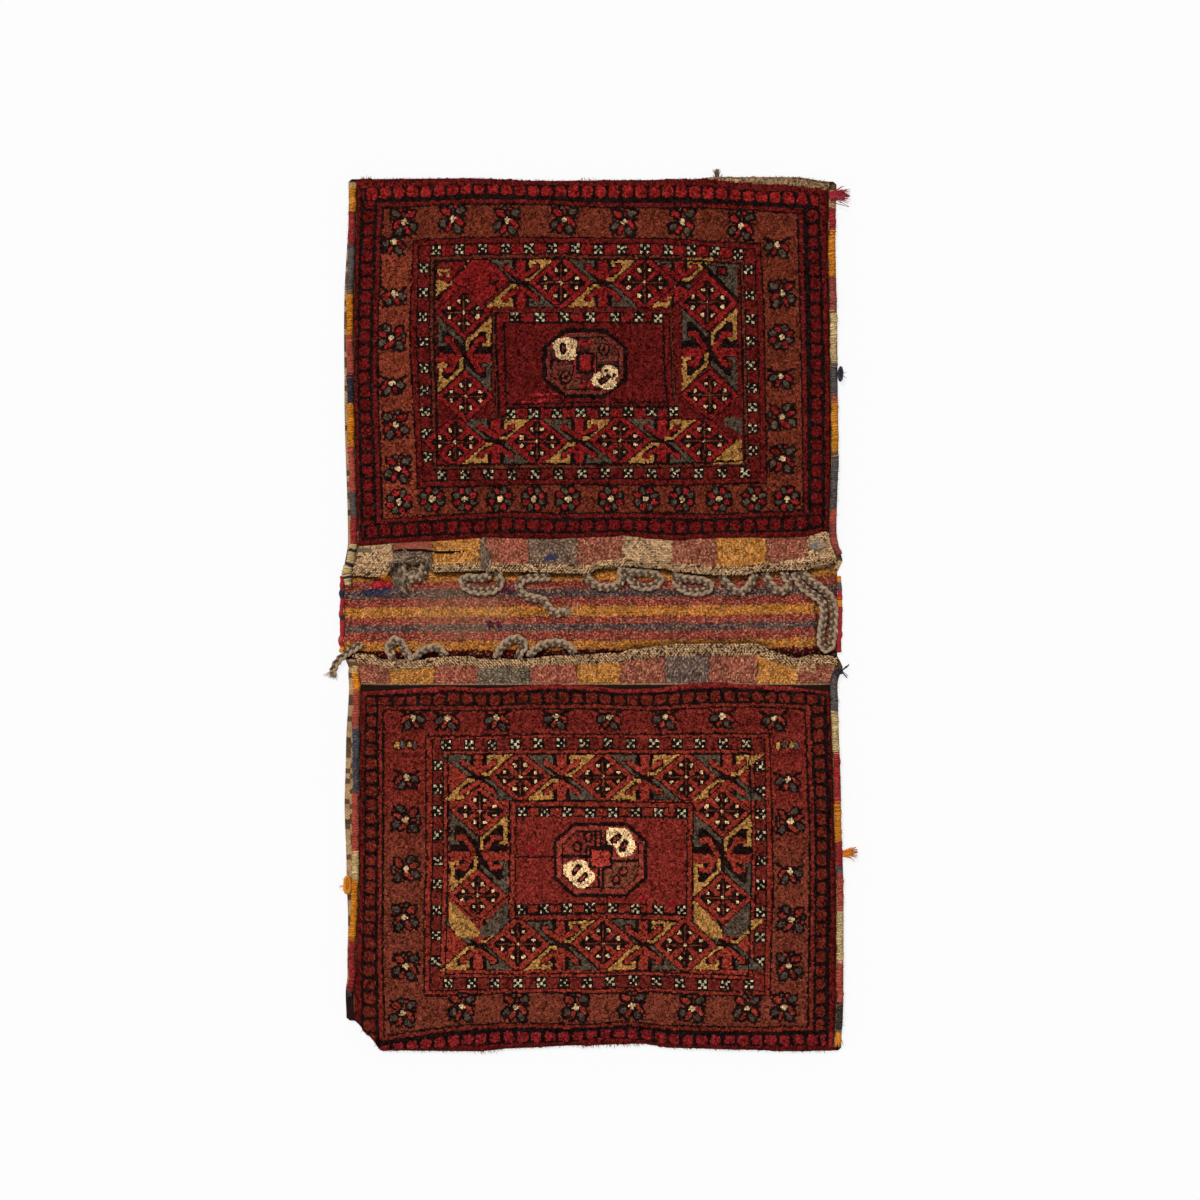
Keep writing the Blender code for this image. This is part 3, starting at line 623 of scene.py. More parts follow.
def diamond(art, cx, cy, half_x, half_y, cut, red, line):
    """A diamond with a cross whose arms end in dark caps, each with two ivory dots."""
    u, v = art.local(cx, cy)
    p, q = np.abs(u), np.abs(v)
    m = p / half_x + q / half_y
    art.put((m < 1.06) & (q < cut + 1.6), DARK)
    inside = (m < 1.0) & (q < cut)
    art.put(inside, red)
    art.put(inside & (np.abs(m - 0.74) < 0.03), red * 0.55)
    arms = ((q < 2.4) & (p < 0.76 * half_x)) | ((p < 2.4) & (q < 0.76 * half_y))
    caps = np.abs(p - 0.46 * half_x) / (0.34 * half_x) + q / (0.33 * half_y) < 1
    caps |= p / (0.31 * half_x) + np.abs(q - 0.44 * half_y) / (0.34 * half_y) < 1
    art.put(inside & (arms | caps), DARK)
    art.put(inside & (((q < 0.75) & (p < 0.6 * half_x)) | ((p < 0.75) & (q < 0.66 * half_y))), line)
    for sx in (-1, 1):
        for sy in (-1, 1):
            for dx, dy in ((0.16, 0.44), (0.50, 0.165)):
                art.disc(cx + sx * dx * half_x, cy + sy * dy * half_y, 1.75, 1.75, IVORY * 0.85)
    art.disc(cx, cy, 1.4, 1.4, IVORY * 0.7)


def hourglass(art, cx, cy, half, tip, reach, upright, red, first, second, shift=0.0):
    """Latch hooks in the gap between two diamonds. first colours two opposite arms, second the others."""
    u, v = art.local(cx, cy)
    a, b = (v, u) if upright else (u, v)
    p, q = np.abs(a), np.abs(b)
    w = tip + (reach - tip) * q / half - p
    inside = (w > 0) & (q < half)
    tone = np.where(((u * v) > 0)[:, None], first, second)
    art.put(inside, DARK)
    off = np.abs(a - shift)
    art.put(inside & (off < 4.4) & (q > 9.0) & (q < half - 0.6), red)
    wing = (np.abs(q - (4.6 + 0.66 * p)) < 2.7) & (p < 18.0) & (w > 8.2)
    wing |= (p > 12.0) & (p < 17.0) & (q > 11.0) & (q < half - 6.6) & (w > 8.2)
    art.put(inside & wing, red)
    arm = (w > 1.6) & (w < 6.6) & (q > 1.6)
    bar = (q > half - 5.0) & (q < half - 0.7) & (p > 8.4)
    corner = (q > half - 10.0) & (q < half - 0.7) & (w < 6.6 + 1.25 * (q - (half - 10.0)))
    drop = (p > 8.4) & (p < 11.6) & (q > half - 9.5) & (q < half - 0.7)
    solid = inside & (w > 1.6) & (arm | bar | corner | drop)
    art.rgb[solid] = tone[solid]
    hook = inside & (q > 1.6) & (q < 4.8) & (p > 3.4) & (w > 3.0) & ((a * b) < 0)
    art.rgb[hook] = tone[hook]


# Petals of a flower: across, down, half length, half width, turn in degrees, red or grey
FULL_FLOWER = [(-6.3, -7.3, 5.2, 3.3, 30, 1), (-2.0, -12.2, 1.9, 1.6, 0, 0), (3.2, -12.0, 1.9, 1.5, 0, 1),
               (8.2, -8.2, 4.7, 3.3, -20, 0), (7.0, 2.6, 6.4, 2.5, 54, 1), (-9.3, 4.8, 4.3, 3.5, -50, 0),
               (-3.6, 8.2, 5.2, 2.4, -63, 1), (5.2, 9.6, 4.7, 3.4, 60, 0)]
HALF_FLOWER = [(7.4, 2.0, 5.4, 2.3, 45, 1), (-7.6, 2.0, 4.6, 3.2, -30, 0), (-2.8, 7.2, 4.2, 2.2, -60, 1),
               (5.0, 8.2, 4.6, 3.1, 50, 0)]
ROUND_FLOWER = [(8.8 * math.cos(t), 8.8 * math.sin(t), 3.6, 3.1, math.degrees(t), n % 2)
                for n, t in enumerate(math.radians(22.5 + 45 * n) for n in range(8))]
SPIKES = {"full": ((-12, 12), (11, 14), (13, -2), (-12, -12), (12, -13)), "half": ((-13, -6), (13, -7), (-10, 11), (11, 13)),
          "round": ((0, -12), (12, 0), (-12, 0), (0, 12))}


def rosette(art, cx, cy, kind, red, grey, mirror=False, turned=False):
    """A small flower of red and grey petals with dark outlines and an ivory heart."""
    petals = {"full": FULL_FLOWER, "half": HALF_FLOWER, "round": ROUND_FLOWER}[kind]
    u, v = art.local(cx, cy)
    if mirror:
        u = -u
    if turned:
        u, v = v, -u
    near = (np.abs(u) < 18) & (np.abs(v) < 18)
    u, v = u[near], v[near]
    rgb = art.rgb[near]

    def oval(dx, dy, long, wide, turn):
        c, s_ = math.cos(math.radians(turn)), math.sin(math.radians(turn))
        along_it, beside = (u - dx) * c + (v - dy) * s_, (v - dy) * c - (u - dx) * s_
        return (along_it / long) ** 2 + (beside / wide) ** 2 < 1

    for dx, dy in SPIKES[kind]:
        t = np.clip((u * dx + v * dy) / (dx * dx + dy * dy), 0, 1)
        rgb[np.hypot(u - t * dx, v - t * dy) < 1.5] = DARK
    for dx, dy, long, wide, turn, _ in petals:
        rgb[oval(dx, dy, long + 2.0, wide + 2.0, turn)] = DARK
    rgb[np.hypot(u, v) < 5.4] = DARK
    for dx, dy, long, wide, turn, tone in petals:
        rgb[oval(dx, dy, long * 0.9, wide * 0.85, turn)] = red if tone else grey * 0.8
    rgb[((np.abs(u) < 3.0) & (np.abs(v) < 1.4)) | ((np.abs(u) < 1.4) & (np.abs(v) < 3.0))] = IVORY * 0.66
    art.rgb[near] = rgb


def x_mark(art, cx, cy):
    """A dark cell with an ivory quincunx."""
    art.box(cx - 5.6, cy - 5.4, cx + 5.6, cy + 5.4, DARK)
    for dx, dy in ((0, 0), (-2.9, -2.9), (2.9, -2.9), (-2.9, 2.9), (2.9, 2.9)):
        art.box(cx + dx - 1.15, cy + dy - 1.15, cx + dx + 1.15, cy + dy + 1.15, WHITE * 0.68)


def frame_line(art, x0, y0, x1, y1, width, colour):
    """A rectangular line in design coordinates, of this width inward from the given rectangle."""
    outside = (art.x < x0) | (art.x > x1) | (art.y < y0) | (art.y > y1)
    inside = (art.x > x0 + width) & (art.x < x1 - width) & (art.y > y0 + width) & (art.y < y1 - width)
    art.put(~outside & ~inside, colour)


def field(art, x0, y0, x1, y1, colour):
    art.put((art.x > x0) & (art.x < x1) & (art.y > y0) & (art.y < y1), colour)


def beads(art, lines, red, pitch, start_x, start_y):
    """Rounded squares in a row round the face, on a dark ground."""
    left, top, right, bottom = lines
    for at in (top, bottom):
        k = np.round((art.px - start_x) / pitch)
        du, dv = art.px - start_x - k * pitch, art.y - at
        mask = (np.abs(du) < 5.2) & (np.abs(dv) < 4.9) & (np.abs(du) + np.abs(dv) < 8.2)
        mask &= (art.x > left - 6) & (art.x < right + 6)
        art.put(mask, red)
    for at in (left, right):
        k = np.round((art.py - start_y) / pitch)
        du, dv = art.x - at, art.py - start_y - k * pitch
        mask = (np.abs(dv) < 5.2) & (np.abs(du) < 5.0) & (np.abs(du) + np.abs(dv) < 8.4)
        mask &= (art.y > top + 7) & (art.y < bottom - 7)
        art.put(mask, red)


def octagon(art, cx, cy, half_x, half_y, flat_x, flat_y):
    """How deep inside an octagon each cell is, in pixels."""
    u, v = art.local(cx, cy)
    p, q = np.abs(u), np.abs(v)
    dx, dy = half_x - flat_x, half_y - flat_y
    size = math.hypot(dx, dy)
    cut = ((half_x - p) * dy + (flat_y - q) * dx) / size
    return np.minimum(np.minimum(half_x - p, half_y - q), cut)


def add_speckle_shade_sheen_and_dye_lots(art, seed, abrash, knot):
    """Fibre by fibre and knot by knot changes of tone, whose dark specks also paint the shade in the gaps between
    knots, a painted sheen of grey on the bright specks, and slow bands of another dye lot.
    """
    rng = np.random.default_rng(seed)
    kx, ky = np.floor(art.px / knot).astype(int), np.floor(art.py / knot).astype(int)
    table = rng.normal(0.0, 1.0, (256, 256))
    # speckle: the fibres' own tone, which differs at random, and painted shade in the gaps between knots
    speckle = 0.24 * table[ky % 256, kx % 256] + 0.40 * rng.normal(0.0, 1.0, len(art.px))
    rows = value_noise(np.zeros_like(art.py) + 3.0, art.py, 5.0, seed + 1)
    rows += 0.6 * value_noise(np.zeros_like(art.py) + 9.0, art.py, 17.0, seed + 2)
    tone = 1.0 + speckle + abrash * rows + 0.07 * value_noise(art.px, art.py, 40.0, seed + 3)
    art.rgb *= np.clip(tone, 0.2, 2.4)[:, None]
    # painted sheen: grey added to the bright specks
    art.rgb += 0.006 * np.clip(speckle, 0.0, 1.0)[:, None]
    return art.rgb


# ---------------------------------------------------------------- the upper face's design
UPPER_Y = [
    (182, [(350, 182), (470, 181), (640, 180), (690, 180), (712, 182), (745, 185.5), (790, 187), (815, 190), (832, 193)]),
    (191, [(350, 196), (367, 196), (390, 192.5), (430, 191.5), (470, 188.5), (500, 189.5), (545, 192), (690, 192),
           (720, 194.5), (740, 197), (770, 198), (800, 199.5), (830, 202)]),
    (203, [(350, 207), (378, 205.7), (433, 203), (468, 201.4), (502, 201.4), (554, 202.5), (590, 204.8), (640, 205.2),
           (710, 205.7), (745, 207.4), (797, 210.9), (830, 213)]),
    (239, [(350, 243), (416, 241), (468, 238.4), (590, 238.4), (660, 239.3), (693, 241), (754, 244.5), (830, 249)]),
    (249.5, [(350, 252), (436, 250.5), (480, 248.8), (571, 248.3), (594, 250), (642, 248.8), (714, 251.4),
             (738, 254.5), (830, 258)]),
    (311, [(350, 311), (590, 310.5), (673, 312), (830, 314)]),
    (317.6, [(350, 317.5), (600, 317.2), (830, 320)]),
    (413.6, [(350, 415), (510, 414.1), (580, 412.4), (673, 411.6), (830, 411)]),
    (467, [(350, 469), (437, 467.9), (537, 466.2), (590, 467), (676, 466.2), (742, 463), (830, 461)]),
    (474.4, [(350, 476), (442, 475.2), (533, 474.5), (605, 473.4), (746, 473), (830, 471)]),
    (485, [(350, 488), (416, 487), (520, 483.4), (590, 483.4), (673, 484.3), (766, 481.7), (830, 480)]),
    (512, [(350, 519), (382, 517.9), (408, 516.2), (450, 513.6), (502, 511), (554, 512.4), (659, 511.9), (717, 513.6),
           (762, 511), (804, 509.3), (830, 508)]),
    (526, [(350, 533), (367, 531.7), (390, 529.1), (414, 527.4), (470, 526.5), (510, 522.8), (552, 525.7), (636, 524),
           (693, 526.5), (717, 524.8), (790, 522.8), (818, 518.8), (830, 517)]),
    (537, [(350, 546), (440, 541), (483, 538), (560, 539), (621, 536), (670, 541), (718, 538), (779, 538), (807, 537), (828, 531)]),
]
UPPER_X = [
    (356, [(200, 356.6), (300, 353.5), (400, 354), (540, 357)]),
    (367, [(195, 369.5), (231, 368), (258, 366.6), (313, 364.1), (367, 362.8), (390, 364.5), (461, 366.6), (499, 368.5), (530, 367)]),
    (376, [(206, 378.3), (246, 376.6), (281, 375.7), (315, 374), (384, 373), (449, 375.2), (500, 376.9), (523, 378)]),
    (412, [(246, 413.6), (280, 411.9), (315, 410.2), (350, 410.2), (384, 412.4), (432, 415.3), (485, 417.9)]),
    (424, [(268, 424), (317, 422.8), (368, 424), (412, 425.3), (457, 427.9)]),
    (434, [(263, 433.4), (350, 433.5), (390, 435.5), (466, 436.5)]),
    (491, [(315, 492), (350, 493), (384, 495.5), (406, 495.5)]),
    (505, [(325, 505), (406, 507)]),
    (662, [(325, 661.6), (384, 664), (402, 666.7)]),
    (675, [(312, 672.8), (384, 676.2), (410, 678)]),
    (739, [(263, 739), (384, 741.7), (463, 743.4)]),
    (750, [(270, 748.3), (320, 750), (384, 751.7), (451, 753.4)]),
    (763, [(250, 759.8), (315, 763.3), (480, 765.9)]),
    (801, [(213, 797.8), (281, 799.5), (384, 802), (500, 803.8)]),
    (816, [(218, 812.4), (290, 815.9), (452, 815.9), (530, 816)]),
    (824, [(210, 820), (315, 823.6), (384, 825.3), (530, 825.3)]),
    (831, [(230, 829), (340, 831), (450, 832), (530, 830)]),
]


def upper_colours(px, py):
    wobble_x = 0.75 * value_noise(px, py, 2.4, 5)
    wobble_y = 0.75 * value_noise(px, py, 2.4, 6)
    px, py = px + wobble_x, py + wobble_y
    art = Painter(px, py, guide(UPPER_X, py, px), guide(UPPER_Y, px, py), DEEP_RED * 0.8)
    field(art, 359.5, 185.5, 824, 533.0, DARK)
    frame_line(art, 361, 186, 823.5, 532.5, 1.2, DARK)
    beads(art, (367.5, 191, 816, 526), RED * 0.5, 13.45, 466.0, 216.0)
    bead = (art.rgb[:, 0] > DARK[0] * 1.5) & (art.x > 361) & (art.x < 823)
    art.put(bead & (art.y < 198) & (art.y > 186), RED * 0.95)
    lower_half = art.y > 300
    frame_line(art, 374, 199.5, 807, 519.5, 1.6, DARK)
    frame_line(art, 375.6, 201, 805.5, 518, 3.8, DEEP_RED * 0.95)
    frame_line(art, 379.8, 205.2, 801.3, 513.8, 1.6, DARK)
    field(art, 381.4, 206.8, 799.7, 512.2, RUST)
    side = (art.x > 381.4) & (art.x < 411) & (art.y > 245) & (art.y < 512)
    art.put(side, RUST * 1.25)
    frame_line(art, 411, 237.5, 764.5, 487.0, 1.7, DARK)
    frame_line(art, 412.7, 239.2, 762.8, 485.3, 5.0, DEEP_RED * 1.15)
    frame_line(art, 417.5, 243.6, 758.0, 480.6, 1.6, DARK)
    field(art, 419.0, 245.0, 756.5, 479.2, DEEP_RED * 1.1)
    frame_line(art, 429.8, 254.9, 745.2, 469.6, 1.5, DARK)
    frame_line(art, 431.2, 256.2, 743.8, 468.2, 3.0, RUST)
    frame_line(art, 434.0, 259.2, 741.0, 465.4, 1.8, DARK)
    for k in range(14):
        x_mark(art, 436.2 + 23.2 * k, float(np.interp(436.2 + 23.2 * k, [350, 436, 480, 571, 594, 642, 714, 738],
                                                        [252, 250.5, 248.8, 248.3, 250, 248.8, 251.4, 254.5])))
        x_mark(art, 442.0 + 23.3 * k, float(np.interp(442.0 + 23.3 * k, [350, 442, 533, 605, 746], [476, 475.2, 474.5, 473.4, 473])))
    for y in (268.0, 292.6, 317.0, 342.2, 368.0, 391.0, 412.4, 433.4, 456.8):
        x_mark(art, float(np.interp(y, [268, 317, 368, 412, 457], [424, 422.8, 424, 425.3, 427.9])), y)
    for y in (269.7, 295.7, 319.3, 341.2, 365.8, 388.2, 407.3, 428.4, 451.0):
        x_mark(art, float(np.interp(y, [270, 320, 384, 451], [748.3, 750, 751.7, 753.4])), y)
    # red blocks between the marks of the guard
    for u0 in np.arange(447.6, 735.0, 23.2):
        field(art, u0 - 5.2, 245.6, u0 + 5.2, 254.4, RED * 0.95)
    # the border of diamonds
    field(art, 435.8, 261.0, 739.2, 463.6, DEEP_RED)
    inner = (art.x > 490.0) & (art.x < 674.5) & (art.y > 311.5) & (art.y < 419.0)
    for cx in (521.0, 603.0, 679.0):
        hourglass(art, cx, 283.0, 24.6, 10.5, 37.0, False, RED, OLIVE, GOLD)
    for cx in (496.0, 579.0, 662.0):
        hourglass(art, cx, 441.5, 22.4, 11.0, 38.0, False, RED, OLIVE, GOLD)
    hourglass(art, 464.5, 355.0, 27.0, 15.0, 40.0, True, RED, OLIVE, GOLD, 3.4)
    hourglass(art, 709.5, 349.0, 28.0, 16.0, 44.0, True, RED, OLIVE, GOLD, 3.4)
    art.put((art.x > 435.8) & (art.x < 470) & (art.y > 261) & (art.y < 300), DARK)
    art.put((art.x > 437.5) & (art.x < 470) & (art.y > 262.5) & (art.y < 300), DEEP_RED * 1.1)
    corner = (art.x > 437.0) & (art.y > 262.0)
    below = (art.px - 438) / 32 + (art.py - 262) / 37 > 1.0
    art.put(corner & below & (art.px < 478) & (art.py < 300), RED * 0.98)
    art.put(corner & ~below & (art.px > 449) & (art.py > 262), RED * 0.8)
    art.line(437, 299, 470, 261.5, 2.0, DARK)
    art.line(449, 285.5, 469, 262.5, 0.9, GOLD)
    art.put(corner & (art.px > 435) & (art.px < 450) & (art.py < 299 - (art.px - 434) * 0.94)
            & (art.py > 278 + (art.px - 434) * 0.38), GOLD)
    art.line(438.5, 270.5, 448, 270.5, 1.3, GOLD)
    art.line(448, 270.5, 448, 276, 1.2, GOLD)
    art.line(438.5, 270.5, 440.5, 275, 1.2, GOLD)
    # grey corner at the upper right, gold one at the lower right
    art.put((art.px > 708) & (art.px < 737.5) & (art.py > 264.5) & (art.py < 304) & (art.px - 700 > (304 - art.py) * 0.1)
            & ((art.px - 700) * 0.95 > (art.py - 264)), OLIVE)
    art.line(703, 264, 737, 300, 2.0, DARK)
    art.box(716, 266, 727, 276, DARK)
    art.box(718, 268, 725, 274, RED)
    art.put((art.px > 712) & (art.px < 742) & (art.py > 440) & (art.py < 464.0) & ((art.px - 708) > (464 - art.py) * 1.05), GOLD)
    art.put((art.px > 724) & (art.px < 742.0) & (art.py > 418) & (art.py < 436) & ((742 - art.px) * 1.0 < (436 - art.py) * 1.6), OLIVE)
    # the inner frame, its marks and the field
    art.put(inner, DARK)
    rail = (art.x > 491.2) & (art.x < 673.4) & (art.y > 311.4) & (art.y < 418.6)
    clear = (art.x > 493.4) & (art.x < 671.4) & (art.y > 313.0) & (art.y < 417.2)
    art.put(rail & ~clear, RUST * 0.8)
    for x0, x1 in ((496.2, 502.6), (664.6, 670.0)):
        art.put((art.x > x0) & (art.x < x1) & (art.y > 315) & (art.y < 415.6), RED * 0.62)
    tops = (515.1, 540, 564, 590, 615.5, 639, 658)
    lows = (511, 534, 557, 580.8, 604.6, 628.6, 651.8, 673.5)
    for row, at in ((tops, 317.6), (lows, 413.0)):
        for left, right in zip(row, row[1:]):
            art.box(left + 6.2, at - 4.0, right - 6.2, at + 4.0, RED * 0.85)
    art.box(500.0, 313.6, 509.0, 321.6, RED * 0.8)
    for cx, cy in zip(tops, (317.3, 317.3, 316.8, 317.2, 317.4, 317.6, 318.6)):
        x_mark(art, cx, cy)
    for cx, cy in zip(lows, (414.1, 414, 413.2, 412.6, 411.9, 412.2, 412.2, 411.6)):
        x_mark(art, cx, cy)
    field(art, 503.8, 322.4, 663.6, 407.8, DARK)
    field(art, 505.6, 324.0, 662.0, 403.2, DEEP_RED * 1.04)
    field(art, 505.6, 404.8, 662.0, 407.0, DEEP_RED)
    for x0, y0, x1 in ((522, 402, 541), (533, 394.5, 556), (540, 400.5, 548)):
        art.line(x0, y0, x1, y0 - 0.4, 1.0, linear((172, 40, 42)))
    # diamonds over the hooks
    plain = np.abs(art.px - 481) / 28.5 + np.abs(art.py - 279.5) / 26
    art.put((plain < 1.07) & (art.y > 260), DARK)
    art.put((plain < 1.0) & (art.y > 261), RED * 0.98)
    art.line(489, 285, 499, 281, 1.2, DARK)
    art.line(495, 283, 497, 290, 1.2, DARK)
    diamond(art, 463.5, 312.5, 28.0, 26.0, 30.0, RED * 0.85, RUST)
    for cx, cy in ((561, 283), (644.5, 283)):
        diamond(art, cx, cy, 31.5, 29.0, 24.2, RED, RUST)
    diamond(art, 707.5, 302.5, 30.0, 29.0, 40.0, RED, RUST)
    for cx, cy in ((465.5, 396.5), (710, 395)):
        diamond(art, cx, cy, 29.0, 25.5, 40.0, RED, RUST)
    for cx, cy in ((455, 442), (537, 441.5), (620, 440.5), (704, 441)):
        diamond(art, cx, cy, 31.0, 26.5, 22.0, RED, RUST)
    rim = (art.x < 435.8) | (art.x > 739.2) | (art.y < 261.0) | (art.y > 463.6)
    art.put(rim & (art.x > 433.5) & (art.x < 741.5) & (art.y > 259.0) & (art.y < 465.8), DARK)
    # rosettes
    bright = RED * 1.12
    for cx, cy in ((404, 222), (452.5, 219), (507, 221), (564, 220), (624, 222), (682, 222), (741, 226)):
        rosette(art, cx, cy, "full", bright, OLIVE, mirror=cx < 420)
    for cx, cy, kind, mirror, turned in ((393.5, 242, "half", 0, 0), (394, 294, "half", 1, 0), (391.5, 338, "full", 0, 1),
                                         (392.5, 383, "half", 1, 0), (395.5, 425, "full", 1, 0), (398, 469, "full", 0, 0)):
        rosette(art, cx, cy, kind, RED * 0.85, OLIVE, bool(mirror), bool(turned))
    for cx in (399, 432, 465, 500, 534, 568, 611, 646, 682, 719, 754, 787):
        rosette(art, cx, 499.0 + (3.0 if cx < 420 else 0), "round", RED, OLIVE, mirror=cx > 560)
    for cx, cy, kind, mirror, turned in ((777, 245, "half", 0, 0), (782, 294, "full", 1, 0), (781, 337, "round", 0, 0),
                                         (781, 376, "half", 0, 0), (782, 417, "full", 1, 1), (782, 459, "full", 0, 0)):
        rosette(art, cx, cy, kind, RED * 0.8, OLIVE, bool(mirror), bool(turned))
    upper_medallion(art)
    # the twill that rolls over the fold at the right, worn through the pile
    art.put((art.px > 709) & (art.y < 179.5), TWILL * 0.6)
    middle = (art.x > 411) & (art.x < 764.5) & (art.y > 237.5) & (art.y < 487)
    brown_side = (art.x > 381.4) & (art.x < 411) & (art.y > 245) & (art.y < 512)
    art.rgb *= np.where(middle, 0.70, np.where(brown_side, 1.0, 0.86))[:, None]
    return add_speckle_shade_sheen_and_dye_lots(art, 11, 0.09, 2.6)


def upper_medallion(art):
    cx, cy = 585.0, 363.5
    deep = octagon(art, cx, cy, 42.5, 35.0, 20.0, 17.0)
    brown = linear((104, 52, 38))
    art.put(deep > 0, DARK)
    art.put(deep > 4.2, linear((118, 48, 38)))
    art.put(deep > 8.2, DARK)
    art.put(deep > 9.6, linear((72, 30, 24)))
    u, v = art.local(cx, cy)
    # two brown quarters
    for sx, sy in ((1, -1), (-1, 1)):
        quarter = (deep > 9.6) & (u * sx > 5) & (v * sy > 2)
        art.put(quarter, brown)
        art.disc(cx + 19 * sx, cy + 14 * sy, 6.2, 7.0, DARK)
        art.disc(cx + 19 * sx, cy + 14 * sy, 4.2, 5.0, linear((122, 50, 40)))
        art.disc(cx + 19 * sx, cy + 14 * sy, 1.8, 2.4, DARK)
        art.line(cx + 27 * sx, cy + 22 * sy, cx + 29 * sx, cy + 4 * sy, 1.2, linear((125, 40, 36)))
    art.line(cx - 33, cy - 1.5, cx - 10, cy - 1.5, 2.4, DARK)
    art.line(cx - 32, cy - 0.2, cx - 12, cy - 0.2, 1.1, linear((122, 44, 38)))
    art.line(cx + 11, cy + 3.0, cx + 33, cy + 3.0, 1.8, DARK)
    # stepped arms round the middle square
    for sx in (-1, 1):
        art.line(cx + sx * 10, cy - 9, cx + sx * 10, cy + 12, 2.6, DARK)
        art.line(cx + sx * 10, cy - 9, cx + sx * 10, cy + 12, 1.1, linear((140, 42, 40)))
    art.line(cx - 10, cy + 12, cx - 1.5, cy + 12, 1.3, linear((140, 42, 40)))
    art.line(cx - 1.5, cy + 12, cx - 1.0, cy + 20, 1.3, linear((140, 42, 40)))
    for dx, dy in ((-4, -20), (1, -18), (5, -21), (-2, 22), (4, 20), (8, 24)):
        art.disc(cx + dx, cy + dy, 2.6, 2.6, RED * 1.15)
    art.box(cx - 8.2, cy - 11.5, cx + 8.6, cy + 9.6, DARK)
    art.box(cx - 5.2, cy - 8.6, cx + 5.8, cy + 6.8, RED * 1.1)
    # ivory lobes with seeds
    for dx, dy, rx, ry in ((-23.5, -17, 8.5, 7.5), (-17, -17.5, 9.0, 8.5), (-15, -9, 6.5, 6.0), (-23, -10, 6.0, 6.0)):
        art.disc(cx + dx, cy + dy, rx, ry, IVORY)
    art.disc(cx - 22.3, cy - 14.5, 3.6, 6.2, DARK)
    art.disc(cx - 22.3, cy - 14.0, 1.5, 3.6, linear((112, 50, 38)))
    for dx, dy, rx, ry in ((15, 16.5, 8.5, 7.5), (24, 10, 8.5, 8.5), (22, 19, 9.5, 7.0), (12, 16, 5.0, 5.5)):
        art.disc(cx + dx, cy + dy, rx, ry, IVORY)
    art.line(cx + 16.5, cy + 18.0, cx + 22.5, cy + 14.0, 3.4, DARK)
    art.line(cx + 17.0, cy + 17.5, cx + 21.5, cy + 14.8, 1.4, linear((112, 50, 38)))
    art.disc(cx + 21, cy + 7.5, 2.0, 1.2, DARK)
    art.disc(cx + 29, cy + 11.5, 1.8, 1.6, DARK)


# ---------------------------------------------------------------- the lower face's design
LOWER_Y = [
    (686, [(350, 692), (362, 691.9), (399, 689.3), (450, 685.8), (478, 688.4), (511, 686.7), (554, 684), (590, 685.8),
           (622.7, 689.3), (659, 688.4), (693, 683.2), (719, 682.4), (762, 685), (797, 686.7), (831, 691.9)]),
    (700, [(350, 701), (412.7, 700.5), (466, 697), (495, 700), (523, 697), (593, 697), (621, 699.6), (662, 698.7),
           (686, 696.2), (741.5, 695.3), (767, 697), (833, 698.5)]),
    (708, [(350, 707.6), (381.7, 707.4), (485, 708.2), (520, 706.5), (600, 706.5), (659, 708.2), (710.5, 705),
           (762, 704.4), (805, 706.8), (833, 708)]),
    (735.5, [(350, 736), (485, 735.8), (536.7, 734), (659, 734.4), (710.5, 733.2), (769, 734), (833, 735)]),
    (744, [(350, 745), (492, 745), (540, 743), (833, 743.6)]),
    (753.5, [(350, 754), (833, 753.5)]),
    (801, [(350, 800), (510, 800.4), (590, 800.8), (692, 802.6), (833, 803)]),
    (811.6, [(350, 811), (521.5, 811.5), (681, 813.3), (833, 814)]),
    (908.6, [(350, 910), (521, 909.2), (592, 907.2), (660, 909.7), (833, 910)]),
    (919, [(350, 921), (510, 920.9), (590, 919.5), (611, 918.4), (692, 920.9), (833, 921)]),
    (972.6, [(350, 974), (600, 972.5), (642, 970), (693, 972.6), (752, 975.2), (833, 976)]),
    (983, [(350, 984), (449, 983.3), (590, 982.3), (636.5, 979.8), (704, 984.3), (748, 983.8), (833, 984)]),
    (993, [(350, 996), (426.4, 995), (485, 993.3), (537, 991.5), (590, 992.4), (660, 991.5), (711, 995), (833, 994)]),
    (1023, [(350, 1042), (387, 1035), (420, 1030), (450, 1026), (502, 1022.5), (590, 1024), (624, 1020.8), (667, 1025),
            (728, 1026.8), (835, 1026)]),
    (1037, [(350, 1056), (406, 1047.5), (433, 1044), (454, 1040.6), (509, 1036.3), (567, 1038), (590, 1034.6),
            (631, 1032.9), (659, 1036.3), (684.7, 1040.6), (835, 1039.5)]),
    (1046, [(350, 1064), (404, 1056), (426, 1052.7), (460, 1049), (485, 1048.4), (567, 1044.9), (590, 1040.5),
            (624, 1041.5), (665.8, 1047.5), (745, 1049.2), (835, 1050)]),
]
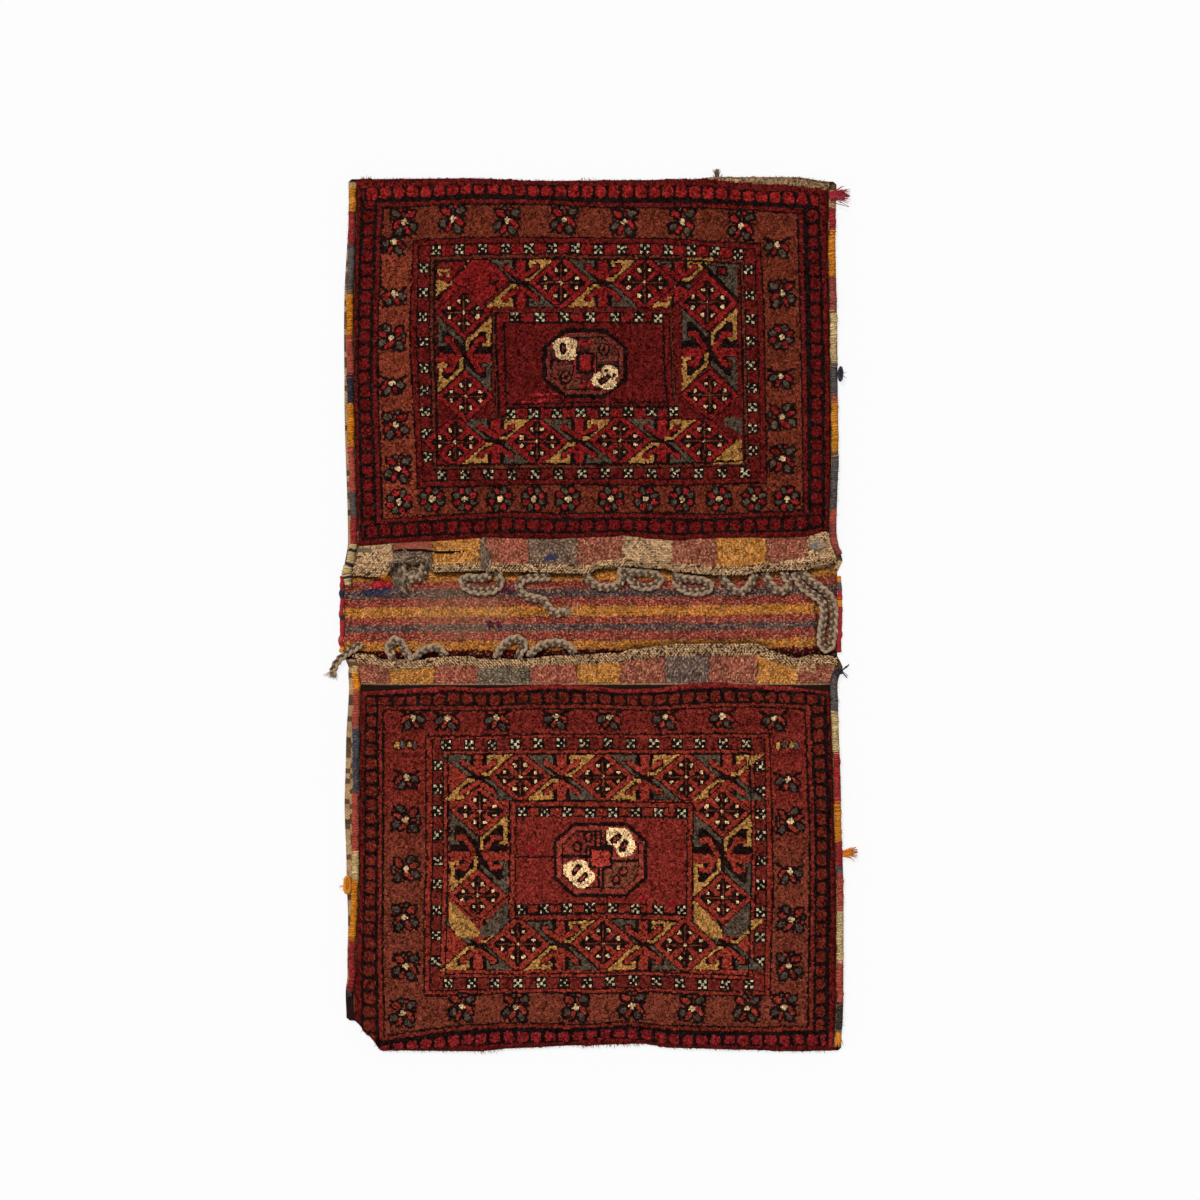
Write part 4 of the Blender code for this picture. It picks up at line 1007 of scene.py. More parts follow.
LOWER_X = [
    (360, [(690, 361), (750, 359.7), (885, 359), (1000, 355.6), (1020, 354)]),
    (371, [(703, 373), (735, 371.3), (854, 371.3), (904, 370.5), (964, 369.3), (1006, 370.5)]),
    (382, [(711, 381.7), (840, 381.3), (960, 380.8), (1012, 382.5)]),
    (426, [(738, 425.9), (867, 426.8), (892, 424.7), (994, 424.4)]),
    (437.6, [(765, 438.1), (860, 438.1), (935, 435.9), (965, 435.4)]),
    (449, [(763, 448.5), (866, 448.5), (960, 446.2)]),
    (510, [(803, 510.5), (866, 510.8), (916, 509)]),
    (518, [(815, 518), (905, 517)]),
    (685, [(815, 685.6), (905, 685)]),
    (692.5, [(806, 692.5), (892, 691.6), (920, 692)]),
    (750, [(763, 749.3), (832, 752.0), (892, 751), (972, 748.4)]),
    (760.5, [(765, 760), (835, 761), (861, 761.4), (936, 760), (961, 759.6)]),
    (772.5, [(737, 770), (832, 772.5), (892, 773.4), (993, 770)]),
    (809, [(708, 806.5), (832, 811.5), (892, 811.5), (1012, 810)]),
    (820, [(722, 818.2), (791, 819.9), (832, 821.6), (881, 821.6), (960, 820.8), (1012, 819.9)]),
    (829, [(703, 826.8), (798, 830.5), (892, 830.2), (1012, 828.5)]),
    (834, [(700, 830.7), (800, 833.5), (900, 836), (1000, 836), (1040, 834)]),
]


def lower_colours(px, py):
    wobble_x = 0.75 * value_noise(px, py, 2.4, 7)
    wobble_y = 0.75 * value_noise(px, py, 2.4, 8)
    px, py = px + wobble_x, py + wobble_y
    red = BRICK
    art = Painter(px, py, guide(LOWER_X, py, px), guide(LOWER_Y, px, py), DEEP_RED * 0.9)
    art.put(art.y < 690.5, linear((118, 34, 30)))
    field(art, 364.0, 691.5, 829.5, 1043.0, DARK)
    beads(art, (371.0, 700, 820, 1037), red * 0.50, 13.8, 384.5, 722.0)
    bright = (art.y > 1030.5) & (art.y < 1043)
    rose = bright & (art.rgb[:, 0] > 0.1)
    art.put(rose, linear((126, 30, 32)))
    frame_line(art, 377.6, 705.4, 813.6, 1029.0, 1.4, DARK)
    frame_line(art, 379.0, 706.6, 812.2, 1027.6, 3.8, red * 0.62)
    frame_line(art, 383.2, 709.6, 807.8, 1024.2, 1.7, DARK)
    field(art, 384.9, 711.3, 806.2, 1022.6, linear((116, 38, 28)))
    lower_part = (art.y > 790) & (art.x > 384.9) & (art.x < 806.2) & (art.y < 1022.6)
    share = smooth((art.y - 780) / 90.0)[:, None]
    art.rgb[lower_part] = (art.rgb * (1 - share) + FIELD_BROWN * share)[lower_part]
    art.put((art.x > 384.9) & (art.x < 806.2) & (art.y > 752) & (art.y < 757), linear((98, 28, 22)))
    art.put((art.x > 384.9) & (art.x < 806.2) & (art.y > 711) & (art.y < 730) & (np.abs(art.py - 722) < 9), linear((108, 33, 26)))
    frame_line(art, 425.0, 734.7, 773.0, 994.5, 1.8, DARK)
    frame_line(art, 426.8, 736.4, 771.2, 992.7, 5.0, red * 0.85)
    frame_line(art, 431.4, 738.6, 766.6, 990.0, 1.6, DARK)
    field(art, 433.0, 739.0, 765.0, 988.6, linear((104, 33, 25)))
    frame_line(art, 442.4, 749.0, 755.0, 977.8, 1.6, DARK)
    frame_line(art, 443.8, 750.2, 753.6, 976.4, 4.0, red * 0.9)
    frame_line(art, 447.8, 752.8, 750.8, 973.8, 1.8, DARK)
    for k in range(14):
        x = 446.0 + 23.1 * k
        x_mark(art, x, float(np.interp(x, [446, 492, 540, 746], [744.7, 745.2, 743.0, 743.6])))
        x = 448.8 + 23.05 * k
        x_mark(art, x, float(np.interp(x, [449, 590, 636.5, 704, 748], [983.3, 982.3, 979.8, 984.3, 983.8])))
    for y in (765.4, 789.0, 810.7, 835.0, 860.6, 884.0, 910.3, 935.0, 961.0):
        x_mark(art, float(np.interp(y, [765, 860, 935, 965], [438.1, 438.1, 435.9, 435.4])), y)
    for y in (765.7, 791.4, 813.5, 835.5, 860.4, 884.5, 912.0, 937.0, 961.3):
        x_mark(art, float(np.interp(y, [765, 835, 861, 936, 961], [760, 761, 761.4, 760, 759.6])), y)
    # the border of diamonds
    field(art, 449.6, 754.5, 749.0, 972.2, red)
    for cx in (478.5, 561.5, 644.5, 727.5):
        hourglass(art, cx, 777.3, 23.0, 10.5, 38.0, False, red, OLIVE, GOLD)
    for cx in (478.0, 560.5, 643.5, 727.0):
        hourglass(art, cx, 944.5, 25.5, 10.5, 39.0, False, red, OLIVE, GOLD)
    hourglass(art, 479.0, 852.5, 29.5, 16.0, 44.0, True, red, OLIVE, GOLD, 3.4)
    hourglass(art, 722.5, 855.0, 29.5, 16.0, 44.0, True, red, OLIVE, GOLD, 3.4)
    # solid corner fields under the side diamonds
    for x0, colour, x1 in ((449.8, GOLD, 479), (693.5, GOLD, 722)):
        art.put((art.px > x0) & (art.px < x1) & (art.py > 900) & (art.py < 938)
                & ((art.py - 899) * 0.95 > (art.px - x0)) & ((art.px - x0) * 1.2 > (art.py - 926)), colour)
    for x0, x1 in ((480, 508.6), (723, 750)):
        art.put((art.px > x0) & (art.px < x1) & (art.py > 898) & (art.py < 936)
                & ((art.py - 899) * 0.95 > (x1 - art.px)) & ((x1 - art.px) * 1.2 > (art.py - 926)), OLIVE)
    # the inner frame, its marks and the field
    inner = (art.x > 508.6) & (art.x < 693.9) & (art.y > 800.2) & (art.y < 920.2)
    art.put(inner, DARK)
    frame_line(art, 510.4, 802.0, 692.2, 918.4, 4.4, red * 0.85)
    frame_line(art, 514.8, 806.2, 687.6, 914.6, 1.6, DARK)
    art.put((art.x > 516.4) & (art.x < 686) & (art.y > 806) & (art.y < 816.6), DARK)
    art.put((art.x > 516.4) & (art.x < 686) & (art.y > 903.4) & (art.y < 914.6), DARK)
    for k in range(7):
        art.box(528.0 + 22.8 * k, 808.4, 538.6 + 22.8 * k, 815.6, red * 0.85)
        art.box(527.5 + 22.8 * k, 905.0, 538.0 + 22.8 * k, 912.2, red * 0.85)
    for k in range(8):
        x_mark(art, 521.7 + 22.8 * k, 811.6 + 0.2 * k)
        x_mark(art, 521.5 + 22.8 * k, (909.2, 908.4, 907.8, 907.2, 907.6, 908.6, 909.6, 909.8)[k])
    art.put((art.x > 516.4) & (art.x < 686) & (art.y > 816.6) & (art.y < 903.4), linear((112, 35, 27)))
    art.line(517, 857, 553, 856.5, 0.9, DARK)
    for cx, cy, r in ((531, 849, 5), (643, 897, 4), (672, 904, 4)):
        u, v = art.local(cx, cy)
        art.put((u / r) ** 2 + (v / (0.6 * r)) ** 2 + 0.8 * value_noise(px, py, 3.0, 91) < 1, linear((132, 20, 34)))
    for cx, cy in ((520, 777), (603, 777), (686, 777)):
        diamond(art, cx, cy, 31.0, 27.0, 22.4, red, RUST)
    for cx, cy in ((480, 811), (478, 895), (722, 811), (723, 898)):
        diamond(art, cx, cy, 29.5, 25.5, 40.0, red, RUST)
    for cx, cy in ((518, 944), (603, 943), (685, 945)):
        diamond(art, cx, cy, 31.5, 29.0, 25.0, red, RUST)
    rim = (art.x < 449.4) | (art.x > 749.2) | (art.y < 754.4) | (art.y > 972.2)
    art.put(rim & (art.x > 447.6) & (art.x < 751.0) & (art.y > 752.6) & (art.y < 974.0), DARK)
    # rosettes
    for cx, cy in ((413, 717), (447, 718), (497, 718), (556, 717), (609, 717), (665, 717), (722, 716), (774, 718)):
        rosette(art, cx, cy, "half", red, SLATE, mirror=cx < 430)
    for cx, cy, kind, mirror, turned in ((407, 777, "half", 1, 0), (406, 819, "full", 0, 1), (406, 869, "full", 1, 1),
                                         (405, 917, "full", 1, 0), (406, 966, "full", 0, 0), (403, 1013, "full", 0, 0)):
        rosette(art, cx, cy, kind, red * 0.9, SLATE, bool(mirror), bool(turned))
    for cx, cy in ((462, 1007), (516, 1007), (576, 1007), (632, 1005), (692, 1008), (747, 1008), (784, 1007)):
        rosette(art, cx, cy, "full", red * 0.95, SLATE)
    for cx, cy, kind, mirror, turned in ((788, 779, "half", 0, 0), (790, 821, "full", 1, 1), (790, 871, "half", 1, 0),
                                         (791, 919, "full", 0, 1), (789, 966, "full", 1, 0)):
        rosette(art, cx, cy, kind, red * 0.9, SLATE, bool(mirror), bool(turned))
    for cx, cy in ((406, 744), (787, 744)):
        for dx, tone in ((-9, GOLD), (-3, OLIVE), (4, GOLD * 0.8), (9, SLATE)):
            art.disc(cx + dx, cy + abs(dx) * 0.15, 3.4, 5.0, DARK)
            art.disc(cx + dx, cy + abs(dx) * 0.15, 2.3, 3.8, tone)
    lower_medallion(art)
    centre = (art.x > 516) & (art.x < 686) & (art.y > 816) & (art.y < 904)
    art.rgb *= np.where(centre, 1.0, 0.84)[:, None]
    return add_speckle_shade_sheen_and_dye_lots(art, 23, 0.08, 2.6)


def lower_medallion(art):
    cx, cy = 600.4, 859.6
    deep = octagon(art, cx, cy, 47.0, 37.4, 26.5, 19.0)
    brown = linear((108, 56, 40))
    art.put(deep > 0, DARK)
    art.put(deep > 3.6, linear((128, 50, 38)))
    art.put(deep > 8.4, DARK)
    art.put(deep > 9.8, linear((124, 46, 36)))
    u, v = art.local(cx, cy)
    art.put((deep > 9.8) & (u > 4) & (v > 1), brown)
    art.put((deep > 9.8) & (u < -4) & (v < -1), linear((118, 44, 34)))
    for dx, dy in ((-23, -13), (-12, -23), (16, 20), (23, 12)):
        art.disc(cx + dx, cy + dy, 5.0, 5.4, DARK)
        art.disc(cx + dx, cy + dy, 2.8, 3.2, linear((132, 50, 40)))
    art.line(cx - 38, cy - 3.5, cx - 12, cy - 3.5, 1.7, DARK)
    art.line(cx + 10, cy + 1.5, cx + 38, cy + 0.5, 1.7, DARK)
    for dx in (-5.0, 0.5, 5.8):
        art.line(cx + dx, cy - 28, cx + dx, cy - 14, 1.3, DARK)
    for dx in (-2.0, 2.5):
        art.line(cx + dx, cy + 10, cx + dx, cy + 27, 1.3, DARK)
    art.line(cx - 14, cy - 13, cx + 13, cy - 13, 1.2, DARK)
    art.line(cx - 14, cy - 13, cx - 14, cy + 9, 1.2, DARK)
    art.box(cx - 11.4, cy - 12.0, cx + 12.0, cy + 8.8, DARK)
    art.box(cx - 8.8, cy - 9.6, cx + 9.4, cy + 6.4, linear((156, 52, 42)))
    # ivory lobes with seeds
    for dx, dy, rx, ry in ((13, -25, 7.5, 7.5), (20, -22, 11.0, 10.0), (27, -15, 8.5, 9.5), (24, -9, 8.5, 6.0)):
        art.disc(cx + dx, cy + dy, rx, ry, IVORY)
    art.box(cx + 6.6, cy - 31, cx + 14, cy - 15, IVORY)
    art.line(cx + 12.5, cy - 18.8, cx + 18.5, cy - 23.5, 3.4, DARK)
    art.line(cx + 13.5, cy - 19.5, cx + 17.5, cy - 22.6, 1.3, linear((140, 60, 46)))
    art.line(cx + 22.0, cy - 10.5, cx + 24.5, cy - 17.5, 3.3, DARK)
    art.line(cx + 22.6, cy - 12.5, cx + 24.0, cy - 16.0, 1.2, linear((140, 60, 46)))
    for dx, dy, rx, ry in ((-28, 10, 9.5, 9.0), (-20, 8, 8.5, 8.0), (-19, 20, 10.0, 8.0), (-11, 17, 5.5, 6.5), (-26, 17, 7.0, 6.0)):
        art.disc(cx + dx, cy + dy, rx, ry, IVORY)
    art.line(cx - 26.0, cy + 12.5, cx - 22.0, cy + 7.0, 3.3, DARK)
    art.line(cx - 25.2, cy + 11.5, cx - 22.8, cy + 8.4, 1.2, linear((140, 60, 46)))
    art.line(cx - 20.0, cy + 20.5, cx - 15.5, cy + 15.5, 3.3, DARK)
    art.line(cx - 19.2, cy + 19.6, cx - 16.4, cy + 16.6, 1.2, linear((140, 60, 46)))


# ---------------------------------------------------------------- the pile faces
PILE_COLS, PILE_ROWS = 352, 270
UPPER_START = [(350, 546), (440, 541), (483, 538), (560, 539), (621, 536), (670, 541), (718, 538), (779, 538), (807, 537), (828, 531)]
LOWER_START = [(350, 692), (362, 691.9), (399, 689.3), (450, 685.8), (478, 688.4), (511, 686.7), (554, 684), (590, 685.8),
               (622.7, 689.3), (659, 688.4), (693, 683.2), (719, 682.4), (762, 685), (797, 686.7), (831, 691.9)]


def pile_start(pouch, x):
    """Depth from the mouth at which the pile begins, across the bag."""
    course = UPPER_START if pouch.side > 0 else LOWER_START
    py = np.interp(to_px(x), *np.array(course, float).T)
    return np.abs(PX_Y - py) * PX - HALF_BRIDGE


def pile_face(name, pouch, colours, seed):
    rng = np.random.default_rng(seed)
    share = np.linspace(0.0, 1.0, PILE_COLS + 1)
    way = np.linspace(0.0, 1.0, PILE_ROWS + 1)
    share, way = np.meshgrid(share, way)
    first = pile_start(pouch, pouch.shift + (share - 0.5) * FACE_WIDTH)
    full = pouch.length + 5.0
    depth = first + way * (full - first)
    flat_depth = np.minimum(depth, pouch.length - 7.0)
    x, y, under = face_point(pouch, share, flat_depth)
    top = under + PILE
    over = np.maximum(depth - flat_depth, 0.0)
    turn = np.minimum(over / 12.0, 1.0) * math.pi / 2
    y = y + pouch.side * 10.2 * np.sin(turn)
    low = 2.2
    z = low + (top - low) * np.cos(turn) ** 0.8
    # the sides and the mouth's edge go down to the cloth
    beside = np.minimum(share, 1 - share) * FACE_WIDTH
    near = depth - first
    drop = np.minimum(np.sqrt(np.clip(beside / 3.0, 0, 1)), np.sqrt(np.clip((near + 0.3) / 2.5, 0.06, 1)))
    base = np.where(beside < 1.0, under - 0.2, under + 1.2)
    z = np.where(turn < 0.2, base + (z - base) * drop, z)
    ragged = 0.9 * value_noise(x, y, 3.3, seed + 5) + 0.7 * value_noise(x, y, 8.0, seed + 6)
    y = y + pouch.side * ragged * np.sin(turn)
    near_side = np.clip(1.0 - beside / 3.0, 0.0, 1.0)
    x = x + rng.normal(0.0, 0.22, x.shape) + 0.6 * ragged * near_side
    y = y + rng.normal(0.0, 0.22, y.shape)
    lumps = 0.35 * value_noise(x, y, 3.1, seed) + 0.45 * value_noise(x, y, 9.0, seed + 1)
    lumps = lumps + rng.normal(0.0, 0.22, x.shape)
    z = z + np.where(drop > 0.8, lumps, 0.3 * lumps) * np.cos(turn)
    points = np.stack((x, y, z), axis=-1)
    rows, cols = points.shape[:2]
    px = cell_mean(to_px(x), rows, cols)
    py = cell_mean(to_py(y), rows, cols)
    shades = colours(px, py)
    obj = make_object(name, points.reshape(-1, 3), grid_faces(rows, cols, pouch.side < 0), shades, "pile")
    return obj


upper_pile = pile_face("upper_pile", UPPER, upper_colours, 101)
lower_pile = pile_face("lower_pile", LOWER, lower_colours, 202)


def mixed(base, dark, px, py, seed, share=0.35):
    """Flecks of a darker yarn in a base colour."""
    rng = np.random.default_rng(seed)
    fleck = rng.random(len(px)) < share
    out = np.where(fleck[:, None], dark, base)
    return out * (1.0 + 0.12 * rng.normal(0, 1, len(px)))[:, None].clip(0.5, 1.6)


def lining(name, pouch):
    """The woven ground that carries the pile."""
    share, depth = np.meshgrid(np.linspace(0, 1, 61), np.linspace(33.0, pouch.length - 7.0, 60))
    x, y, under = face_point(pouch, share, depth)
    top = np.stack((x, y, under + 1.6), axis=-1)
    bottom = np.stack((x, y, under), axis=-1)
    count = 60 * 59
    colour = np.tile(TWILL_DARK, (count, 1))
    return slab(name, top, bottom, pouch.side < 0, colour, colour, "twill")


upper_lining = lining("upper_lining", UPPER)
lower_lining = lining("lower_lining", LOWER)

# ---------------------------------------------------------------- the bands of coloured squares
ORANGE = linear((186, 121, 54))
SALMON = linear((156, 82, 64))
MAUVE = linear((143, 78, 60))
GREY = linear((114, 90, 75))
GREY_BLUE = linear((104, 83, 75))
UPPER_SQUARES = [(340, TWILL), (393.5, GREY), (432, ORANGE), (480, GREY), (486, SALMON * 1.05), (528, GREY), (577, MAUVE),
                 (623, TWILL), (671.5, MAUVE), (717, ORANGE), (766, MAUVE), (808, TWILL * 0.9)]
LOWER_SQUARES = [(340, MAUVE), (389.5, ORANGE), (434.5, SALMON), (477.5, linear((100, 86, 72))), (530, SALMON * 0.95),
                 (578, ORANGE), (620.5, MAUVE), (665, GREY_BLUE), (709, MAUVE), (757, ORANGE), (798, MAUVE * 0.95)]


def band_colours(pouch, px, py, depth, squares, seed):
    rng = np.random.default_rng(seed)
    shifted = px + 1.6 * value_noise(px, py, 4.0, seed)
    starts = np.array([s[0] for s in squares], float)
    tones = np.array([s[1] for s in squares])
    index = np.clip(np.searchsorted(starts, shifted) - 1, 0, len(squares) - 1)
    rgb = tones[index].copy()
    thread = rng.random(len(px))
    rgb = np.where((thread < 0.34)[:, None], rgb * 0.45, rgb)
    rgb = np.where((thread > 0.86)[:, None], rgb * 0.7 + TWILL * 0.6, rgb)
    rgb = np.where(((thread > 0.72) & (thread < 0.86))[:, None], rgb * 1.45, rgb)
    rgb *= (1.0 + 0.22 * value_noise(px, py, 9.0, seed + 7) + 0.12 * value_noise(px, py, 3.0, seed + 8))[:, None]
    edge = np.min(np.abs(shifted[:, None] - starts[None, :]), axis=1) < 0.7
    rgb[edge] *= 0.5
    hem = depth < HEM
    diagonal = np.sin(2 * math.pi * (px + pouch.side * py) / 3.3 + 2.5 * value_noise(px, py, 12.0, seed + 10))
    diagonal += 0.7 * rng.normal(0, 1, len(px))
    hem_tone = np.where((diagonal < -0.1)[:, None], TWILL_DARK * 0.45, TWILL * (1.4 if pouch.side > 0 else 1.25))
    hem_tone = hem_tone * (1.0 + 0.25 * value_noise(px, py, 7.0, seed + 9))[:, None]
    rgb = np.where(hem[:, None], hem_tone, rgb)
    if pouch.side > 0:
        strip = (px > 394) & (px < 432) & (py < 549.5) & ~hem
        rgb[strip] = SALMON * rng.uniform(0.7, 1.2, (int(strip.sum()), 1))
        # painted shade: a dark line in the band's slit below the salmon strip
        wave = py - 551.0 + 1.5 * np.sin((px - 394) / 11.0) + 1.2 * value_noise(px, py, 6.0, 79)
        slit = (px > 394) & (px < 474) & (np.abs(wave) < 1.3 * smooth((476 - px) / 30)) & ~hem
        rgb[slit] = DARK
        rgb[(px > 356) & (px < 371) & (py < 559) & (py > 547)] = linear((112, 98, 74))
        right = (px > 766) & (py > 556 + (808 - px) * 0.22) & (px < 812) & (depth < HEM * 1.6)
        twilled = ((px < 393.5) & (py > 552)) | ((shifted > 623) & (shifted < 671.5)) | right | (shifted > 808)
        cream = np.where((diagonal < -0.5)[:, None], TWILL_DARK * 0.6, TWILL * 1.5)
        rgb = np.where(twilled[:, None] & ~hem[:, None], cream, rgb)
    else:
        above = depth > HEM + pouch.band - 3.6
        rgb[above] = (TWILL * 0.75) * rng.uniform(0.5, 1.1, (int(above.sum()), 1))
        # painted shade: a dark strip where the band runs in under the pile's edge
        dark = depth > HEM + pouch.band - 1.4
        rgb[dark] = DARK * 1.5
        worn = (px > 796) & (px < 815) & (py < 672) & (py > 664)
        rgb[worn & (rng.random(len(px)) < 0.4)] = TWILL * 1.1
    return rgb * (1.0 + 0.16 * rng.normal(0, 1, len(px)))[:, None].clip(0.4, 1.6)


def band(name, pouch, squares, seed):
    rows, cols = 30, 381
    share, depth = np.meshgrid(np.linspace(0, 1, cols), np.linspace(0.0, HEM + pouch.band + 9.0, rows))
    x, y, under = face_point(pouch, share, depth)
    thick = np.where(depth < HEM, 4.4, 2.6)
    thick = thick - 0.9 * np.clip(1 - depth / 1.6, 0, 1)
    rng = np.random.default_rng(seed)
    creases = 0.6 * value_noise(x, y, 14.0, seed) + 0.7 * value_noise(x * 0.45, y, 5.5, seed + 5)
    z = under + thick + creases * smooth(depth / 5.0) + 0.12 * rng.normal(0, 1, x.shape)
    z = z + 0.25 * np.sin((x + y) * 2 * math.pi / 2.9) * (depth < HEM)
    y_out = y + 0.7 * value_noise(x, y, 5.0, seed + 4) * (depth < 2)
    top = np.stack((x, y_out, z), axis=-1)
    bottom = np.stack((x, y_out, under), axis=-1)
    px, py = cell_mean(to_px(x), rows, cols), cell_mean(to_py(y), rows, cols)
    d = cell_mean(depth, rows, cols)
    tone = band_colours(pouch, px, py, d, squares, seed)
    plain = np.tile(TWILL_DARK, (len(px), 1))
    made = slab(name, top, bottom, pouch.side < 0, tone, plain, "band")
    made.data.materials.append(MATERIALS["hem"])
    twilled = d < HEM
    if pouch.side > 0:
        twilled |= ((px < 393.5) & (py > 552)) | ((px > 623) & (px < 671.5)) | (px > 808)
    index = np.zeros(len(made.data.polygons), np.int32)
    index[:len(px)] = twilled
    made.data.polygons.foreach_set("material_index", index)
    return made


upper_band = band("upper_band", UPPER, UPPER_SQUARES, 301)
lower_band = band("lower_band", LOWER, LOWER_SQUARES, 302)

# ---------------------------------------------------------------- the striped bridge
STRIPES = [(560, ORANGE), (580, SALMON), (588.5, GREY_BLUE), (597, SALMON * 0.95), (606, ORANGE), (616, SALMON * 1.05),
           (623.5, GREY_BLUE * 1.05), (630.5, SALMON), (640.5, ORANGE), (649.5, DEEP_RED * 0.9), (656, DEEP_RED * 0.5)]


def bridge_colours(px, py):
    rng = np.random.default_rng(41)
    lean = np.interp(px, [340, 480, 620, 720, 840], [2.2, 0.6, 0.0, -0.6, -3.5])
    at = py - lean + 0.9 * value_noise(px, py, 5.0, 42) + 0.5 * rng.normal(0, 1, len(px))
    starts = np.array([s[0] for s in STRIPES], float)
    tones = np.array([s[1] for s in STRIPES])
    rgb = tones[np.clip(np.searchsorted(starts, at) - 1, 0, len(STRIPES) - 1)].copy()
    thread = rng.random(len(px))
    reds = (rgb[:, 0] > rgb[:, 1] * 2.6)[:, None]
    greys = (rgb[:, 0] < rgb[:, 1] * 1.9)[:, None]
    rgb *= np.where(reds, np.array((0.80, 0.56, 0.60)), np.where(greys, np.array((0.66, 0.62, 0.70)), np.array((0.92, 0.84, 0.7))))
    # painted shade and light: soft vertical bands that stand for the shading of the bridge's puckers
    rgb *= (1.0 + 0.13 * value_noise(px, py * 0.15, 14.0, 50))[:, None]
    rgb = np.where((thread < 0.32)[:, None], rgb * 0.42, rgb)
    rgb = np.where((thread > 0.88)[:, None], rgb * 0.5 + TWILL * 0.6, rgb)
    rgb = np.where(((thread > 0.70) & (thread < 0.88))[:, None], rgb * 1.6, rgb)
    rgb *= (1.0 + 0.16 * value_noise(px, py, 11.0, 47) + 0.16 * value_noise(px, py, 3.0, 48))[:, None]
    worn = smooth(1.2 - ((px - 460) / 60) ** 2 - ((py - 612) / 34) ** 2)
    rgb = rgb * (1 - 0.14 * worn[:, None]) + TWILL * (0.14 * worn[:, None])
    patch = ((px - 382) / 13) ** 2 + ((py - 585 + (px - 382) * 0.12) / 4.2) ** 2 + 0.5 * value_noise(px, py, 3.0, 43) < 1
    rgb[patch & (thread < 0.75)] = linear((168, 22, 34))
    blue = ((px - 378) / 16) ** 2 + ((py - 590.5) / 3.0) ** 2 + 0.7 * value_noise(px, py, 3.0, 44) < 1
    rgb[blue & (thread < 0.55)] = linear((56, 62, 96))
    for cx, cy, rx, ry in ((491, 591, 3.5, 4.0), (501, 590, 6.0, 4.0), (508, 588, 4.0, 3.0)):
        spot = ((px - cx) / rx) ** 2 + ((py - cy) / ry) ** 2 + 0.8 * value_noise(px, py, 2.2, 45) < 0.8
        rgb[spot & (thread < 0.6)] = linear((40, 34, 52))
        rgb[spot & (thread >= 0.6) & (thread < 0.8)] = linear((150, 30, 40))
    # painted shade on the bridge along the edges of both hems, darkest right at the hems
    x = (px - PX_X) * PX
    for pouch in (UPPER, LOWER):
        gap = (pouch.side * (py - PX_Y) * PX + HALF_BRIDGE + along(pouch.hem, x)) / PX
        rgb *= (1.0 - 0.7 * np.exp(-(np.maximum(gap, 0.0) / (3.5 if pouch.side > 0 else 5.0)) ** 2))[:, None]
    # painted shadow: a dark line at the bridge's right fold, and painted shade over the part beyond it, under the long
    # braid
    fold = px - 816.0 + 1.2 * value_noise(px, py, 7.0, 49)
    rgb *= (1.0 - 0.6 * np.exp(-(fold / 1.8) ** 2) * smooth((py - 592) / 8) - 0.22 * (fold > 0))[:, None]
    return rgb * (1.0 + 0.16 * rng.normal(0, 1, len(px)))[:, None].clip(0.4, 1.7)


def bridge():
    rows, cols = 76, 340
    share, y = np.meshgrid(np.linspace(0, 1, cols), np.linspace(-HALF_BRIDGE - 4.0, HALF_BRIDGE + 4.0, rows))
    near = smooth(np.abs(y / (2 * HALF_BRIDGE)) * 8.0 - 3.0)
    edges = []
    for hand in (-1, 1):
        beyond = np.where(y > 0, back_edge(UPPER, hand, 0.0), back_edge(LOWER, hand, 0.0))
        edges.append(bridge_edge(hand) * (1 - near) + beyond * near)
    x = edges[0] + (edges[1] - edges[0]) * share
    rng = np.random.default_rng(40)
    lift = pucker(x, y)
    z = BACK + lift + 0.4 * value_noise(x, y, 16.0, 46) * smooth((HALF_BRIDGE - np.abs(y)) / 20) \
        + 0.12 * rng.normal(0, 1, x.shape) + 0.1 * np.sin(x * 2 * math.pi / 5.0)
    z = np.maximum(z, 2.0)
    top = np.stack((x, y, z), axis=-1)
    bottom = np.stack((x, y, np.maximum(lift - 0.4, 0.0)), axis=-1)
    px, py = cell_mean(to_px(x), rows, cols), cell_mean(to_py(y), rows, cols)
    tone = bridge_colours(px, py)
    # the underside takes the top's colours times 0.9: painted shade
    return slab("bridge_cloth", top, bottom, False, tone, tone * 0.9, "bridge")


bridge_cloth = bridge()

# ---------------------------------------------------------------- the backs with their folds


